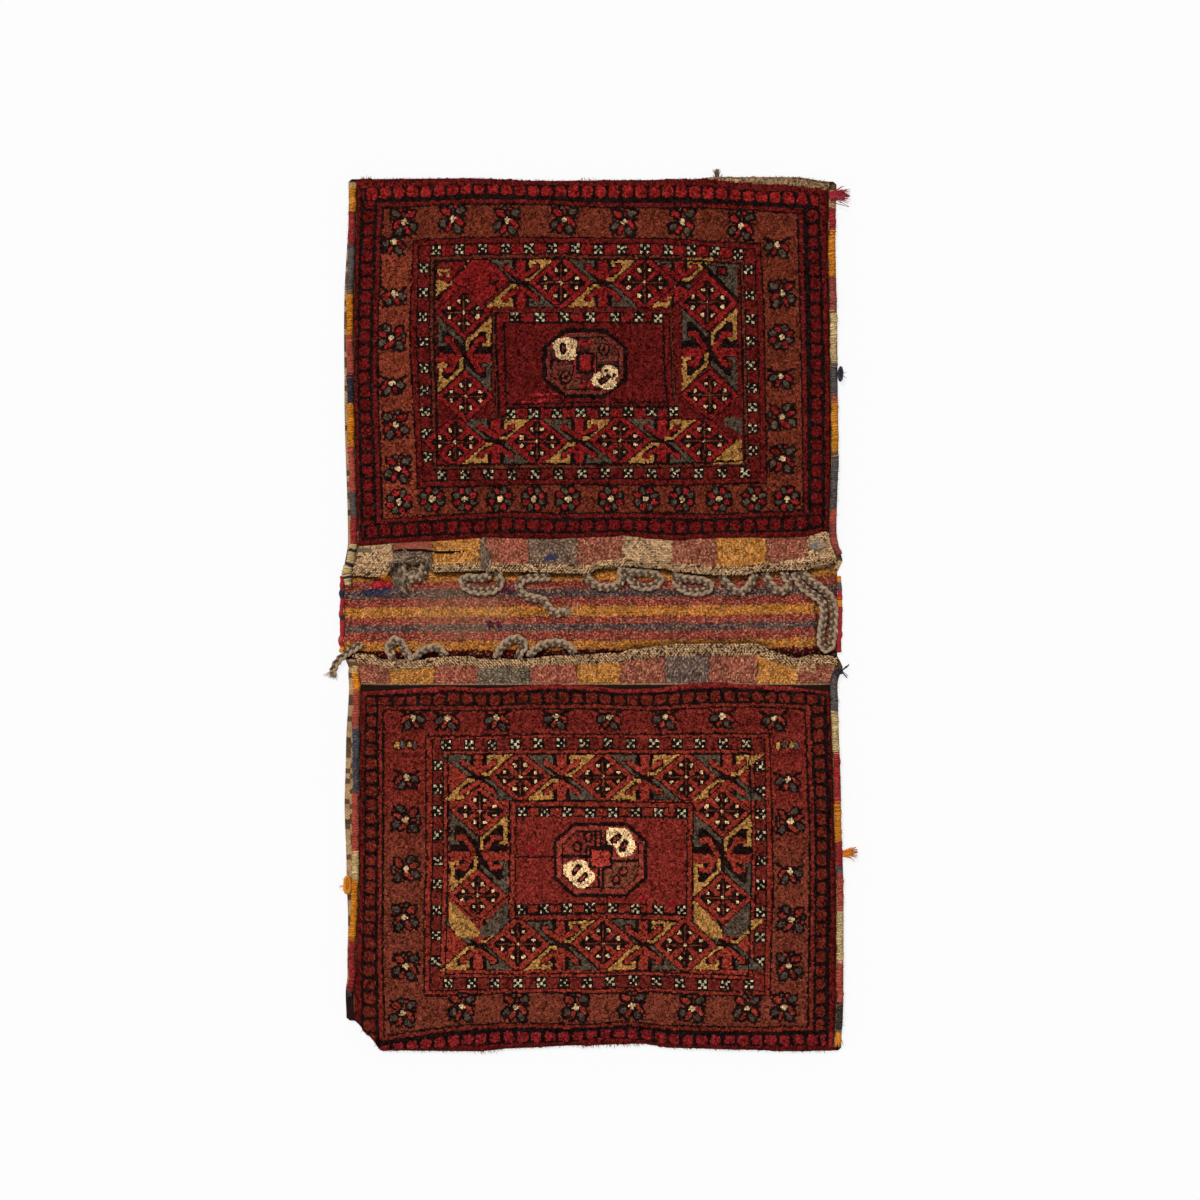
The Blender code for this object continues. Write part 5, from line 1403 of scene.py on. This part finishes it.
def back(name, pouch, seed):
    """The pouch's back in plain twill, which turns up round the fold."""
    radius = 2.0
    depths = np.concatenate((np.full(7, pouch.length), np.linspace(pouch.length, 0.0, 70)[1:], [0.0]))
    turns = np.concatenate((np.linspace(0.96, 0.0, 7), np.zeros(70)))
    rows, cols = len(depths), 101
    share, depth = np.meshgrid(np.linspace(0, 1, cols), depths)
    turn = np.repeat(turns[:, None], cols, axis=1)
    low_x = back_edge(pouch, -1, depth) + (back_edge(pouch, 1, depth) - back_edge(pouch, -1, depth)) * share
    high_x = face_edge(pouch, -1, depth) + (face_edge(pouch, 1, depth) - face_edge(pouch, -1, depth)) * share
    x = low_x + (high_x - low_x) * turn
    angle = math.pi * turn
    reach = HALF_BRIDGE + depth + smooth(depth / pouch.length) * along(pouch.end, x)
    reach[-1] -= 3.0
    rng = np.random.default_rng(seed)
    rough = 0.08 * rng.normal(0, 1, x.shape) + 0.25 * value_noise(x, reach, 20.0, seed)
    outer, inner = radius + 1.25, radius - 1.0
    zc = 1.25 + radius
    under = np.stack((x, pouch.side * (reach + outer * np.sin(angle)), zc - outer * np.cos(angle)), axis=-1)
    over = np.stack((x, pouch.side * (reach + inner * np.sin(angle)), zc - inner * np.cos(angle)), axis=-1)
    over[:, :, 2] += np.where(turn > 0, 0.0, np.clip(rough, -0.3, 0.0))
    under[:, :, 2] = np.maximum(under[:, :, 2], 0.0)
    px, py = cell_mean(to_px(x), rows, cols), cell_mean(to_py(pouch.side * reach), rows, cols)
    tone = mixed(TWILL, TWILL_DARK, px, py, seed, 0.4)
    tone *= (1.0 + 0.12 * value_noise(px, py, 30.0, seed + 1))[:, None]
    covered = (cell_mean(turn, rows, cols) > 0.0) & ((px < 709) | (pouch.side < 0))
    tone[covered] = DEEP_RED * rng.uniform(0.3, 0.9, (int(covered.sum()), 1))
    rolled = (cell_mean(turn, rows, cols) > 0.0) & ~covered
    tone[rolled] *= rng.uniform(0.35, 0.85, (int(rolled.sum()), 1))
    if pouch.side < 0:
        tone[(px < 368) & (py > 990)] = DARK * 2.0
    return slab(name, over, under, pouch.side > 0, tone, tone, "twill")


upper_back = back("upper_back_cloth", UPPER, 501)
lower_back = back("lower_back_cloth", LOWER, 502)

# ---------------------------------------------------------------- the wrapped sides
WOOL = {
    "orange": linear((206, 132, 40)), "tan": linear((184, 138, 78)), "red": linear((158, 44, 46)),
    "mauve": linear((150, 70, 62)), "grey": linear((92, 84, 82)), "slate": linear((78, 76, 84)),
    "cream": linear((206, 174, 120)), "blue": linear((50, 47, 60)), "salmon": linear((178, 76, 62)),
    "dark": linear((58, 48, 46)), "amber": linear((214, 128, 30)),
}
WRAPS = {
    "upper_left_binding": (UPPER, -1, -11.0, 463.0, [
        (176, "tan"), (184, "orange"), (212, "red"), (245, "grey"), (292, "amber"), (335, "salmon"), (375, "blue"),
        (404, "amber"), (447, "salmon"), (492, "grey"), (517, "red"), (545, "cream")]),
    "upper_right_binding": (UPPER, 1, 14.0, 441.0, [
        (190, "red"), (232, "amber"), (276, "mauve"), (315, "cream"), (363, "grey"), (395, "salmon"), (403, "orange"),
        (455, "grey"), (508, "salmon"), (524, "mauve")]),
    "lower_left_binding": (LOWER, -1, 14.0, 444.0, [
        (650, "cream"), (671, "amber"), (690, "salmon"), (728, "slate"), (793, "salmon"), (850, "cream"), (880, "amber"),
        (940, "red"), (990, "dark")]),
    "lower_right_binding": (LOWER, 1, 14.0, 447.0, [
        (660, "blue"), (678, "grey"), (712, "cream"), (753, "red"), (803, "amber"), (843, "red"), (866, "grey"),
        (872, "salmon"), (910, "cream"), (962, "salmon"), (1003, "dark"), (1027, "blue"), (1034, "amber")]),
}


def wrap(name, pouch, hand, start, end, lengths):
    """A side binding: yarn wound round the edges of face and back."""
    rng = np.random.default_rng(hash_name(name))
    depth = np.arange(start, end, 0.8)
    edge = face_edge(pouch, hand, depth)
    x = edge + hand * (SEAM + BINDING / 2) + 0.8 * value_noise(depth, depth * 0, 9.0, hash_name(name))
    x = x + 0.45 * value_noise(depth, depth * 0 + 8, 3.4, hash_name(name) + 4)
    y = pouch.side * face_place(pouch, edge, depth)
    z = np.full_like(x, BACK + REST + BINDING / 2 - 0.3)
    line = np.stack((x, y, z), axis=1)
    sides = 12
    angle = np.arange(sides) * 2 * math.pi / sides
    uneven = 0.5 * value_noise(depth, depth * 0 + 3, 11.0, hash_name(name) + 2)
    turns = (depth / 2.1 + uneven)[:, None] + 0.16 * np.cos(angle)[None, :]
    ridge = np.abs(np.sin(math.pi * turns))
    swell = 1.0 + 0.15 * value_noise(depth, depth * 0 + 5, 7.0, hash_name(name) + 1)[:, None]
    swell += 0.08 * value_noise(depth, depth * 0 + 6, 2.6, hash_name(name) + 3)[:, None]
    if name == "upper_left_binding":
        for at, wide, more in ((4.0, 8.0, 0.55), (23.0, 5.0, 0.3)):
            lump = more * np.exp(-((depth - at) / wide) ** 2)
            swell += lump[:, None]
            line[:, 0] -= 3.0 * lump
    radii = BINDING / 2 * swell * (0.84 + 0.24 * ridge) + rng.normal(0, 0.09, (len(depth), sides))
    radii[0] *= 0.5
    radii[-1] *= 0.5
    py = to_py(y) + 1.8 * rng.normal(0, 1, len(y))
    starts = np.array([row[0] for row in lengths], float)
    tones = np.array([WOOL[row[1]] for row in lengths])
    order = np.clip(np.searchsorted(starts, py) - 1, 0, len(lengths) - 1)
    tone = tones[order] * (1.0 + 0.2 * rng.normal(0, 1, (len(y), 1))).clip(0.5, 1.6)
    tone *= (1.0 + 0.2 * value_noise(depth, depth * 0 + 4, 12.0, hash_name(name) + 6))[:, None]
    if name == "upper_left_binding":
        for at in (-2.0, 12.5, 27.0):
            tone[np.abs(depth - at) < 1.5] = WOOL["blue"]
    bundle = Bundle()
    verts, faces, ends, ring = tube_mesh(line, radii, sides, squash=0.98)
    bundle.verts.append(verts)
    bundle.faces.append(faces)
    # painted shade: the grooves between the windings darkened to 0.42 and the ridges to 0.92
    low = (ridge[:-1].ravel() < 0.45)
    shades = tone[ring] * np.where(low, 0.42, 0.92)[:, None]
    fleck = rng.random(len(shades))
    shades = np.where((fleck < 0.14)[:, None], shades * 0.45, shades)
    shades = np.where((fleck > 0.94)[:, None], shades * 0.5 + TWILL * 0.3, shades)
    bundle.colours.append(shades)
    bundle.count += len(verts)
    frays = int((end - start) / 1.8)
    for _ in range(frays):
        k = rng.integers(2, len(line) - 2)
        angle_k = rng.uniform(-0.6, 2.4)
        out = np.array((hand * math.cos(angle_k), rng.normal(0, 0.5), max(math.sin(angle_k), 0.0)))
        out /= np.linalg.norm(out)
        t = np.linspace(0, 1, 4)[:, None]
        reach = rng.uniform(0.8, 3.6)
        root = line[k] + out * BINDING * 0.44
        bundle.tube(root + out * t * reach + np.array((0, rng.normal(0, 1.0), -0.6)) * t * t * reach,
                    np.linspace(0.22, 0.1, 4), tone[k] * rng.uniform(0.8, 1.3), 3)
    obj = bundle_object(bundle, name + "_yarn", "wrap")
    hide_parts(name)
    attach(obj, "root")
    return obj


def bundle_object(bundle, name, material):
    return bundle.object(name, material)


for wrap_name, wrap_facts in WRAPS.items():
    wrap(wrap_name, *wrap_facts)


def selvage(name, hand, lengths):
    rng = np.random.default_rng(hash_name(name))
    y = np.arange(-HALF_BRIDGE + 4.0, HALF_BRIDGE - 4.0, 0.7)
    x = bridge_edge(hand) + hand * 2.4 + 1.2 * value_noise(y, y * 0, 8.0, hash_name(name))
    line = np.stack((x, y, np.full_like(y, 3.2)), axis=1)
    sides = 10
    angle = np.arange(sides) * 2 * math.pi / sides
    ridge = np.abs(np.sin(math.pi * (y[:, None] / 2.4 + 0.2 * np.cos(angle)[None, :])))
    swell = 1.0 + 0.3 * value_noise(y, y * 0 + 2, 5.0, hash_name(name) + 2)[:, None]
    radii = 3.0 * swell * (0.84 + 0.22 * ridge)
    radii[0] *= 0.5
    radii[-1] *= 0.5
    py = to_py(y) + rng.normal(0, 0.8, len(y))
    starts = np.array([row[0] for row in lengths], float)
    tones = np.array([WOOL[row[1]] for row in lengths])
    tone = tones[np.clip(np.searchsorted(starts, py) - 1, 0, len(lengths) - 1)]
    tone = tone * (1.0 + 0.15 * rng.normal(0, 1, (len(y), 1))).clip(0.6, 1.5)
    bundle = Bundle()
    verts, faces, ends, ring = tube_mesh(line, radii, sides)
    bundle.verts.append(verts)
    bundle.faces.append(faces)
    # painted shade in the grooves between the windings
    bundle.colours.append(tone[ring] * np.where(ridge[:-1].ravel() < 0.35, 0.55, 1.0)[:, None])
    bundle.count += len(verts)
    obj = bundle.object(name + "_yarn", "wrap")
    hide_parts(name)
    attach(obj, "root")


selvage("bridge_left_selvage", -1, [(560, "red"), (590, "blue"), (598, "red"), (616, "dark"), (621, "red"), (638, "salmon"),
                                    (641, "red"), (646, "orange")])
selvage("bridge_right_selvage", 1, [(560, "orange"), (583, "grey"), (590, "red"), (600, "orange"), (607, "red")])

# ---------------------------------------------------------------- tufts and knots


def frame_middle(name):
    low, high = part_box(name)
    middle = (np.array(low) + np.array(high)) / 2 * 1000.0 + ORIGIN
    half = (np.array(high) - np.array(low)) / 2 * 1000.0
    return middle, half


def tuft(name, colours, way, count, thick=0.45, root_at=0.0, seed=1):
    """Loose yarn in a node's place: strands that fan out from its root."""
    rng = np.random.default_rng(seed)
    middle, half = frame_middle(name)
    way = np.array(way, float)
    size = float(np.abs(way) @ half) * 2
    across_way = np.cross(way, (0, 0, 1.0))
    wide = float(np.abs(across_way) @ half)
    start = middle - way * size / 2
    bundle = Bundle()
    for _ in range(count):
        t = np.linspace(0, 1, 7)[:, None]
        fan = rng.normal(0, 0.5)
        lift = rng.uniform(-0.8, 0.9)
        reach = size * rng.uniform(0.55, 1.08)
        bend = np.sin(t * math.pi * rng.uniform(0.6, 1.6) + rng.uniform(0, 3)) * rng.uniform(0.2, 0.9)
        line = start + across_way * (wide * 0.45 * rng.normal(0, 0.5)) + way * (t * reach)
        line = line + across_way * (fan * wide * t ** 1.2) + across_way * bend
        line = line + np.array((0, 0, 1.0)) * (half[2] * (0.25 + 0.7 * lift * np.sin(t * 2.2)))
        line[:, 2] = np.maximum(line[:, 2], 0.6)
        tone = colours[rng.integers(0, len(colours))] * rng.uniform(0.7, 1.3)
        bundle.tube(line, np.linspace(thick, thick * 0.45, 7) * rng.uniform(0.8, 1.3), tone, 4)
    obj = bundle.object(name + "_strands", "fibre")
    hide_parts(name)
    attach(obj, "root")
    return obj


def knot(name, colours, seed, slot, strand=1.0, turns=6):
    """A knot of yarn: several strands wound round each other inside the node's place."""
    rng = np.random.default_rng(seed)
    middle, half = frame_middle(name)
    bundle = Bundle()
    for k in range(turns):
        t = np.linspace(0, 2 * math.pi, 22)
        tilt = rng.uniform(0, math.pi)
        lean = rng.uniform(-0.5, 0.5)
        a, b = half[0] * 0.72, half[1] * 0.72
        x = a * (np.cos(t) * math.cos(tilt) - 0.75 * np.sin(t) * math.sin(tilt))
        y = b * (np.cos(t) * math.sin(tilt) + 0.75 * np.sin(t) * math.cos(tilt))
        z = half[2] * (0.55 * np.sin(t + lean * 3) * math.cos(lean) + 0.15 * rng.normal())
        line = middle + np.stack((x, y, z), axis=1)
        line[:, 2] = np.maximum(line[:, 2], 0.8)
        bundle.tube(line, np.full(22, strand * rng.uniform(0.8, 1.2)), colours[k % len(colours)] * rng.uniform(0.8, 1.2), 6)
    core = middle + np.stack((np.zeros(6), np.linspace(-0.6, 0.6, 6) * half[1], np.zeros(6)), axis=1)
    size = min(half[0], half[2])
    # the core is the first yarn colour times 0.6: painted shade inside the knot
    bundle.tube(core, size * np.array((0.3, 0.62, 0.72, 0.72, 0.62, 0.3)), colours[0] * 0.6, 8)
    for _ in range(8):
        t = np.linspace(0, 1, 6)[:, None]
        way = rng.normal(0, 1, 3) * np.array((1, 1, 0.3))
        way /= np.linalg.norm(way)
        line = middle + way * (0.3 + t) * np.linalg.norm(half[:2]) * 0.55
        line[:, 2] = np.maximum(line[:, 2], 0.5)
        bundle.tube(line, np.linspace(0.35, 0.15, 6), colours[0] * rng.uniform(0.7, 1.3), 4)
    obj = bundle.object(name + "_yarn", "fibre")
    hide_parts(name)
    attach(obj, "root")
    return obj


def tie():
    """Dark yarn knotted round the binding, with two tails that spread outwards."""
    rng = np.random.default_rng(66)
    bundle = Bundle()
    heart = np.array(((841.5 - PX_X) * PX, (PX_Y - 671.5) * PX, 7.0))
    for k in range(9):
        t = np.linspace(0, 2 * math.pi, 16)
        loop = np.stack((1.6 * np.cos(t) + rng.normal(0, 0.3), 2.4 * np.sin(t) + rng.normal(0, 0.5),
                         1.5 * np.sin(t + k)), axis=1)
        bundle.tube(heart + loop, np.full(16, 0.6), WOOL["blue"] * rng.uniform(0.6, 1.3), 5)
    for end_x, end_y, count in ((849.5, 665.0, 6), (848.0, 677.5, 6), (836.0, 668.0, 3), (838.0, 676.0, 3)):
        goal = np.array(((end_x - PX_X) * PX, (PX_Y - end_y) * PX, 3.0))
        for _ in range(count):
            t = np.linspace(0, 1, 7)[:, None]
            line = heart + (goal + rng.normal(0, 0.6, 3) - heart) * t * rng.uniform(0.8, 1.05)
            line = line + np.array((0.0, 1.0, 0.0)) * np.sin(t * 3.0) * rng.normal(0, 0.6)
            line[:, 2] = np.maximum(line[:, 2], 0.8)
            bundle.tube(line, np.linspace(0.5, 0.3, 7), WOOL["blue"] * rng.uniform(0.6, 1.4), 4)
    obj = bundle.object("right_blue_tie_yarn", "fibre")
    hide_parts("right_blue_tie")
    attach(obj, "root")


def cloth_top(x, y):
    """How high the upper pouch's band or the bridge stands at a place."""
    depth = y - HALF_BRIDGE - along(UPPER.hem, x)
    left, right = face_edge(UPPER, -1, 0.0), face_edge(UPPER, 1, 0.0)
    share = (x - left) / (right - left)
    hem = BACK + REST + face_lift(UPPER, share, np.maximum(depth, 0.0)) + np.where(depth < HEM, 4.6, 3.2)
    return np.where(depth > -0.5, hem, BACK + pucker(x, y) + 0.4)


def strands(name, slot, patches, seed):
    """Loose yarn and hair that lies on the cloth. A patch is its middle and half sizes in the layout's pixels,
    the way its strands run in degrees, how far they stray, how many there are, their thickness and colours."""
    rng = np.random.default_rng(seed)
    bundle = Bundle()
    for cx, cy, half_x, half_y, turn, stray, count, thick, length, colours in patches:
        for _ in range(count):
            angle, far = rng.uniform(0, 2 * math.pi), math.sqrt(rng.random())
            px = cx + half_x * far * math.cos(angle)
            py = cy + half_y * far * math.sin(angle)
            way = math.radians(turn + rng.normal(0, stray))
            t = np.linspace(-0.5, 0.5, 8)
            reach = length * rng.uniform(0.6, 1.3)
            sway = rng.normal(0, 0.14) * reach * np.sin(t * rng.uniform(3, 9) + rng.uniform(0, 6))
            x = (px - PX_X) * PX + np.cos(way) * t * reach - np.sin(way) * sway
            y = (PX_Y - py) * PX + np.sin(way) * t * reach + np.cos(way) * sway
            z = cloth_top(x, y)
            z = (z + np.maximum(np.roll(z, 1), np.roll(z, -1))) / 2 + thick + rng.uniform(0.0, 1.6)
            z[[0, -1]] = z[[1, -2]]
            tone = colours[rng.integers(0, len(colours))] * rng.uniform(0.6, 1.35)
            bundle.tube(np.stack((x, y, z), axis=1), thick * np.array((0.6, 1, 1, 1, 1, 1, 1, 0.6)), tone, 4)
    obj = bundle.object(name, "braid" if slot == "goat_hair" else "fibre")
    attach(obj, "root")


PINK = linear((176, 52, 66))
CRIMSON = linear((176, 28, 40))
NAVY = linear((48, 52, 84))
HAIRS = [HAIR * 0.7, HAIR_DARK, HAIR * 0.95, HAIR_DARK * 1.5]
strands("frayed_hair", "goat_hair", [
    (411, 567, 19, 13, -25, 45, 150, 0.75, 14.0, HAIRS), (402, 582, 8, 9, -70, 30, 50, 0.7, 14.0, HAIRS),
    (396, 572, 4, 14, 95, 20, 34, 0.7, 16.0, HAIRS), (486, 559, 5, 8, 85, 14, 44, 0.55, 15.0, HAIRS),
    (817, 545, 7, 3.5, 10, 25, 34, 0.7, 9.0, [HAIR, HAIR * 1.2, linear((112, 116, 122))])], 81)
strands("mending_yarn", "red_wool", [
    (381, 584, 9, 3.6, -10, 35, 46, 0.7, 7.0, [CRIMSON, CRIMSON, linear((200, 44, 50))]),
    (385, 578, 7, 2.5, -8, 25, 16, 0.6, 8.0, [WOOL["amber"]]),
    (372, 592, 10, 3.0, 5, 35, 26, 0.6, 6.0, [NAVY, NAVY * 0.6]),
    (551, 557, 7, 2.6, 15, 50, 24, 0.45, 6.0, [linear((44, 56, 104)), NAVY]),
    (507, 590, 7, 3.0, 5, 40, 20, 0.5, 5.0, [NAVY * 0.7, CRIMSON]),
    (490.5, 624, 3.0, 3.6, 60, 60, 26, 0.6, 4.5, [NAVY * 0.35, NAVY * 0.35, CRIMSON * 0.7]),
    (498.5, 624.5, 2.6, 3.0, 60, 60, 22, 0.6, 4.5, [NAVY * 0.35, CRIMSON * 0.7])], 82)
tuft("corner_tassel", [WOOL["red"], PINK, linear((140, 30, 40))], (1, 0, 0), 130, 0.5, seed=61)
tuft("top_yarn_tuft", [TWILL * 0.7, TWILL_DARK, HAIR_DARK], (0, 1, 0), 46, 0.4, seed=62)
tuft("right_orange_tuft", [WOOL["amber"], WOOL["red"], WOOL["amber"]], (1, 0, 0), 70, 0.5, seed=63)
tuft("bottom_right_tuft", [WOOL["amber"], WOOL["orange"]], (0, -1, 0), 60, 0.6, seed=64)
knot("right_blue_knot", [WOOL["blue"], WOOL["blue"] * 0.8, WOOL["red"] * 0.7], 65, "blue_wool", 1.3, 7)
tie()
knot("left_orange_knot", [WOOL["amber"], WOOL["orange"], WOOL["amber"] * 0.9], 67, "orange_wool", 1.6, 9)
for number in range(1, 5):
    knot(f"bridge_knot_{number}", [linear((40, 36, 60)), linear((90, 26, 36))], 70 + number, "blue_wool", 0.6, 5)



def edge_fibres(name, pouch, seed, worn):
    """Short fibres that stand out of the pile along its fold, longer and paler where it is worn through."""
    rng = np.random.default_rng(seed)
    bundle = Bundle()
    for _ in range(1100):
        depth = pouch.length - 7.0
        share = rng.uniform(0.01, 0.99)
        left, right = face_edge(pouch, -1, depth), face_edge(pouch, 1, depth)
        x = left + (right - left) * share
        bare = any(low < to_px(x) < high for low, high in worn) and rng.random() < 0.75
        root = np.array((x, pouch.side * (float(face_place(pouch, x, depth)) + rng.uniform(6.5, 9.0)), rng.uniform(2.6, 5.5)))
        way = np.array((rng.normal(0, 0.45), pouch.side * 1.0, rng.uniform(-0.35, 0.3)))
        t = np.linspace(0, 1, 4)[:, None]
        line = root + way * t * (rng.uniform(3.0, 6.5) if bare else rng.uniform(1.5, 3.6))
        line = line + np.array((1.0, 0.0, 0.0)) * t * t * rng.normal(0, 0.9)
        line[:, 2] = np.maximum(line[:, 2], 0.8)
        pale = (TWILL, HAIR * 0.8, RED * 1.3, linear((150, 60, 60)))
        plain = (DARK, DEEP_RED, RED, RED * 0.8, DARK * 2.0)
        tones = pale if bare else plain
        bundle.tube(line, np.linspace(0.4, 0.16, 4), tones[rng.integers(0, len(tones))] * rng.uniform(0.7, 1.2), 3)
    obj = bundle.object(name, "fibre")
    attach(obj, "root")


edge_fibres("upper_fold_fibres", UPPER, 91, ((352, 372), (578, 596), (712, 722)))
edge_fibres("lower_fold_fibres", LOWER, 92, ((474, 500), (578, 600), (606, 640), (818, 826)))

# ---------------------------------------------------------------- riding, sheets
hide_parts("upper_face", "upper_left_side", "upper_right_side")
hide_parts("lower_face", "lower_left_side", "lower_right_side")
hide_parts("bridge")
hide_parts("upper_back", "upper_fold")
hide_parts("lower_back", "lower_fold")
for piece in (upper_pile, lower_pile, upper_lining, lower_lining, upper_band, lower_band, bridge_cloth, upper_back, lower_back):
    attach(piece, "root")

# ---------------------------------------------------------------- floor and light


def floor():
    size = 6.0
    mesh = bpy.data.meshes.new("floor")
    mesh.from_pydata([(-size, -size, -0.0005), (size, -size, -0.0005), (size, size, -0.0005), (-size, size, -0.0005)], [], [(0, 1, 2, 3)])
    obj = bpy.data.objects.new("floor", mesh)
    bpy.context.scene.collection.objects.link(obj)
    material = bpy.data.materials.new("floor_paper")
    material.use_nodes = True
    nodes, links = material.node_tree.nodes, material.node_tree.links
    nodes.clear()
    out = nodes.new("ShaderNodeOutputMaterial")
    diffuse = node(nodes, "ShaderNodeBsdfDiffuse")
    diffuse.inputs["Color"].default_value = (0.86, 0.86, 0.86, 1)
    glow = node(nodes, "ShaderNodeEmission")
    glow.inputs["Strength"].default_value = 1.0
    path = nodes.new("ShaderNodeLightPath")
    seen = math_node(nodes, links, "MAXIMUM", path.outputs["Is Camera Ray"], path.outputs["Is Glossy Ray"])
    seen = math_node(nodes, links, "MAXIMUM", seen, path.outputs["Is Transmission Ray"])
    seen = math_node(nodes, links, "MULTIPLY", seen, 0.8)
    mix = nodes.new("ShaderNodeMixShader")
    links.new(seen, mix.inputs[0])
    links.new(diffuse.outputs[0], mix.inputs[1])
    links.new(glow.outputs[0], mix.inputs[2])
    links.new(mix.outputs[0], out.inputs["Surface"])
    mesh.materials.append(material)


floor()
scene_world = bpy.data.worlds.new("soft_studio")
scene_world.use_nodes = True
scene_world.node_tree.nodes["Background"].inputs["Color"].default_value = (1, 1, 1, 1)
sky_nodes, sky_links = scene_world.node_tree.nodes, scene_world.node_tree.links
sky_path = sky_nodes.new("ShaderNodeLightPath")
sky_seen = math_node(sky_nodes, sky_links, "MAXIMUM", sky_path.outputs["Is Camera Ray"],
                     sky_path.outputs["Is Glossy Ray"])
sky_seen = math_node(sky_nodes, sky_links, "MAXIMUM", sky_seen, sky_path.outputs["Is Transmission Ray"])
sky_strength = math_node(sky_nodes, sky_links, "MULTIPLY", sky_seen, 0.5)
sky_strength = math_node(sky_nodes, sky_links, "ADD", sky_strength, 0.5)
sky_links.new(sky_strength, sky_nodes["Background"].inputs["Strength"])
bpy.context.scene.world = scene_world
sun_data = bpy.data.lights.new("key", "SUN")
sun_data.energy = 2.1
sun_data.angle = math.radians(14)
sun = bpy.data.objects.new("key", sun_data)
sun.rotation_euler = Vector((-0.35, 0.62, 1.0)).to_track_quat("Z", "Y").to_euler()
bpy.context.scene.collection.objects.link(sun)
bpy.context.scene.view_settings.view_transform = "Standard"
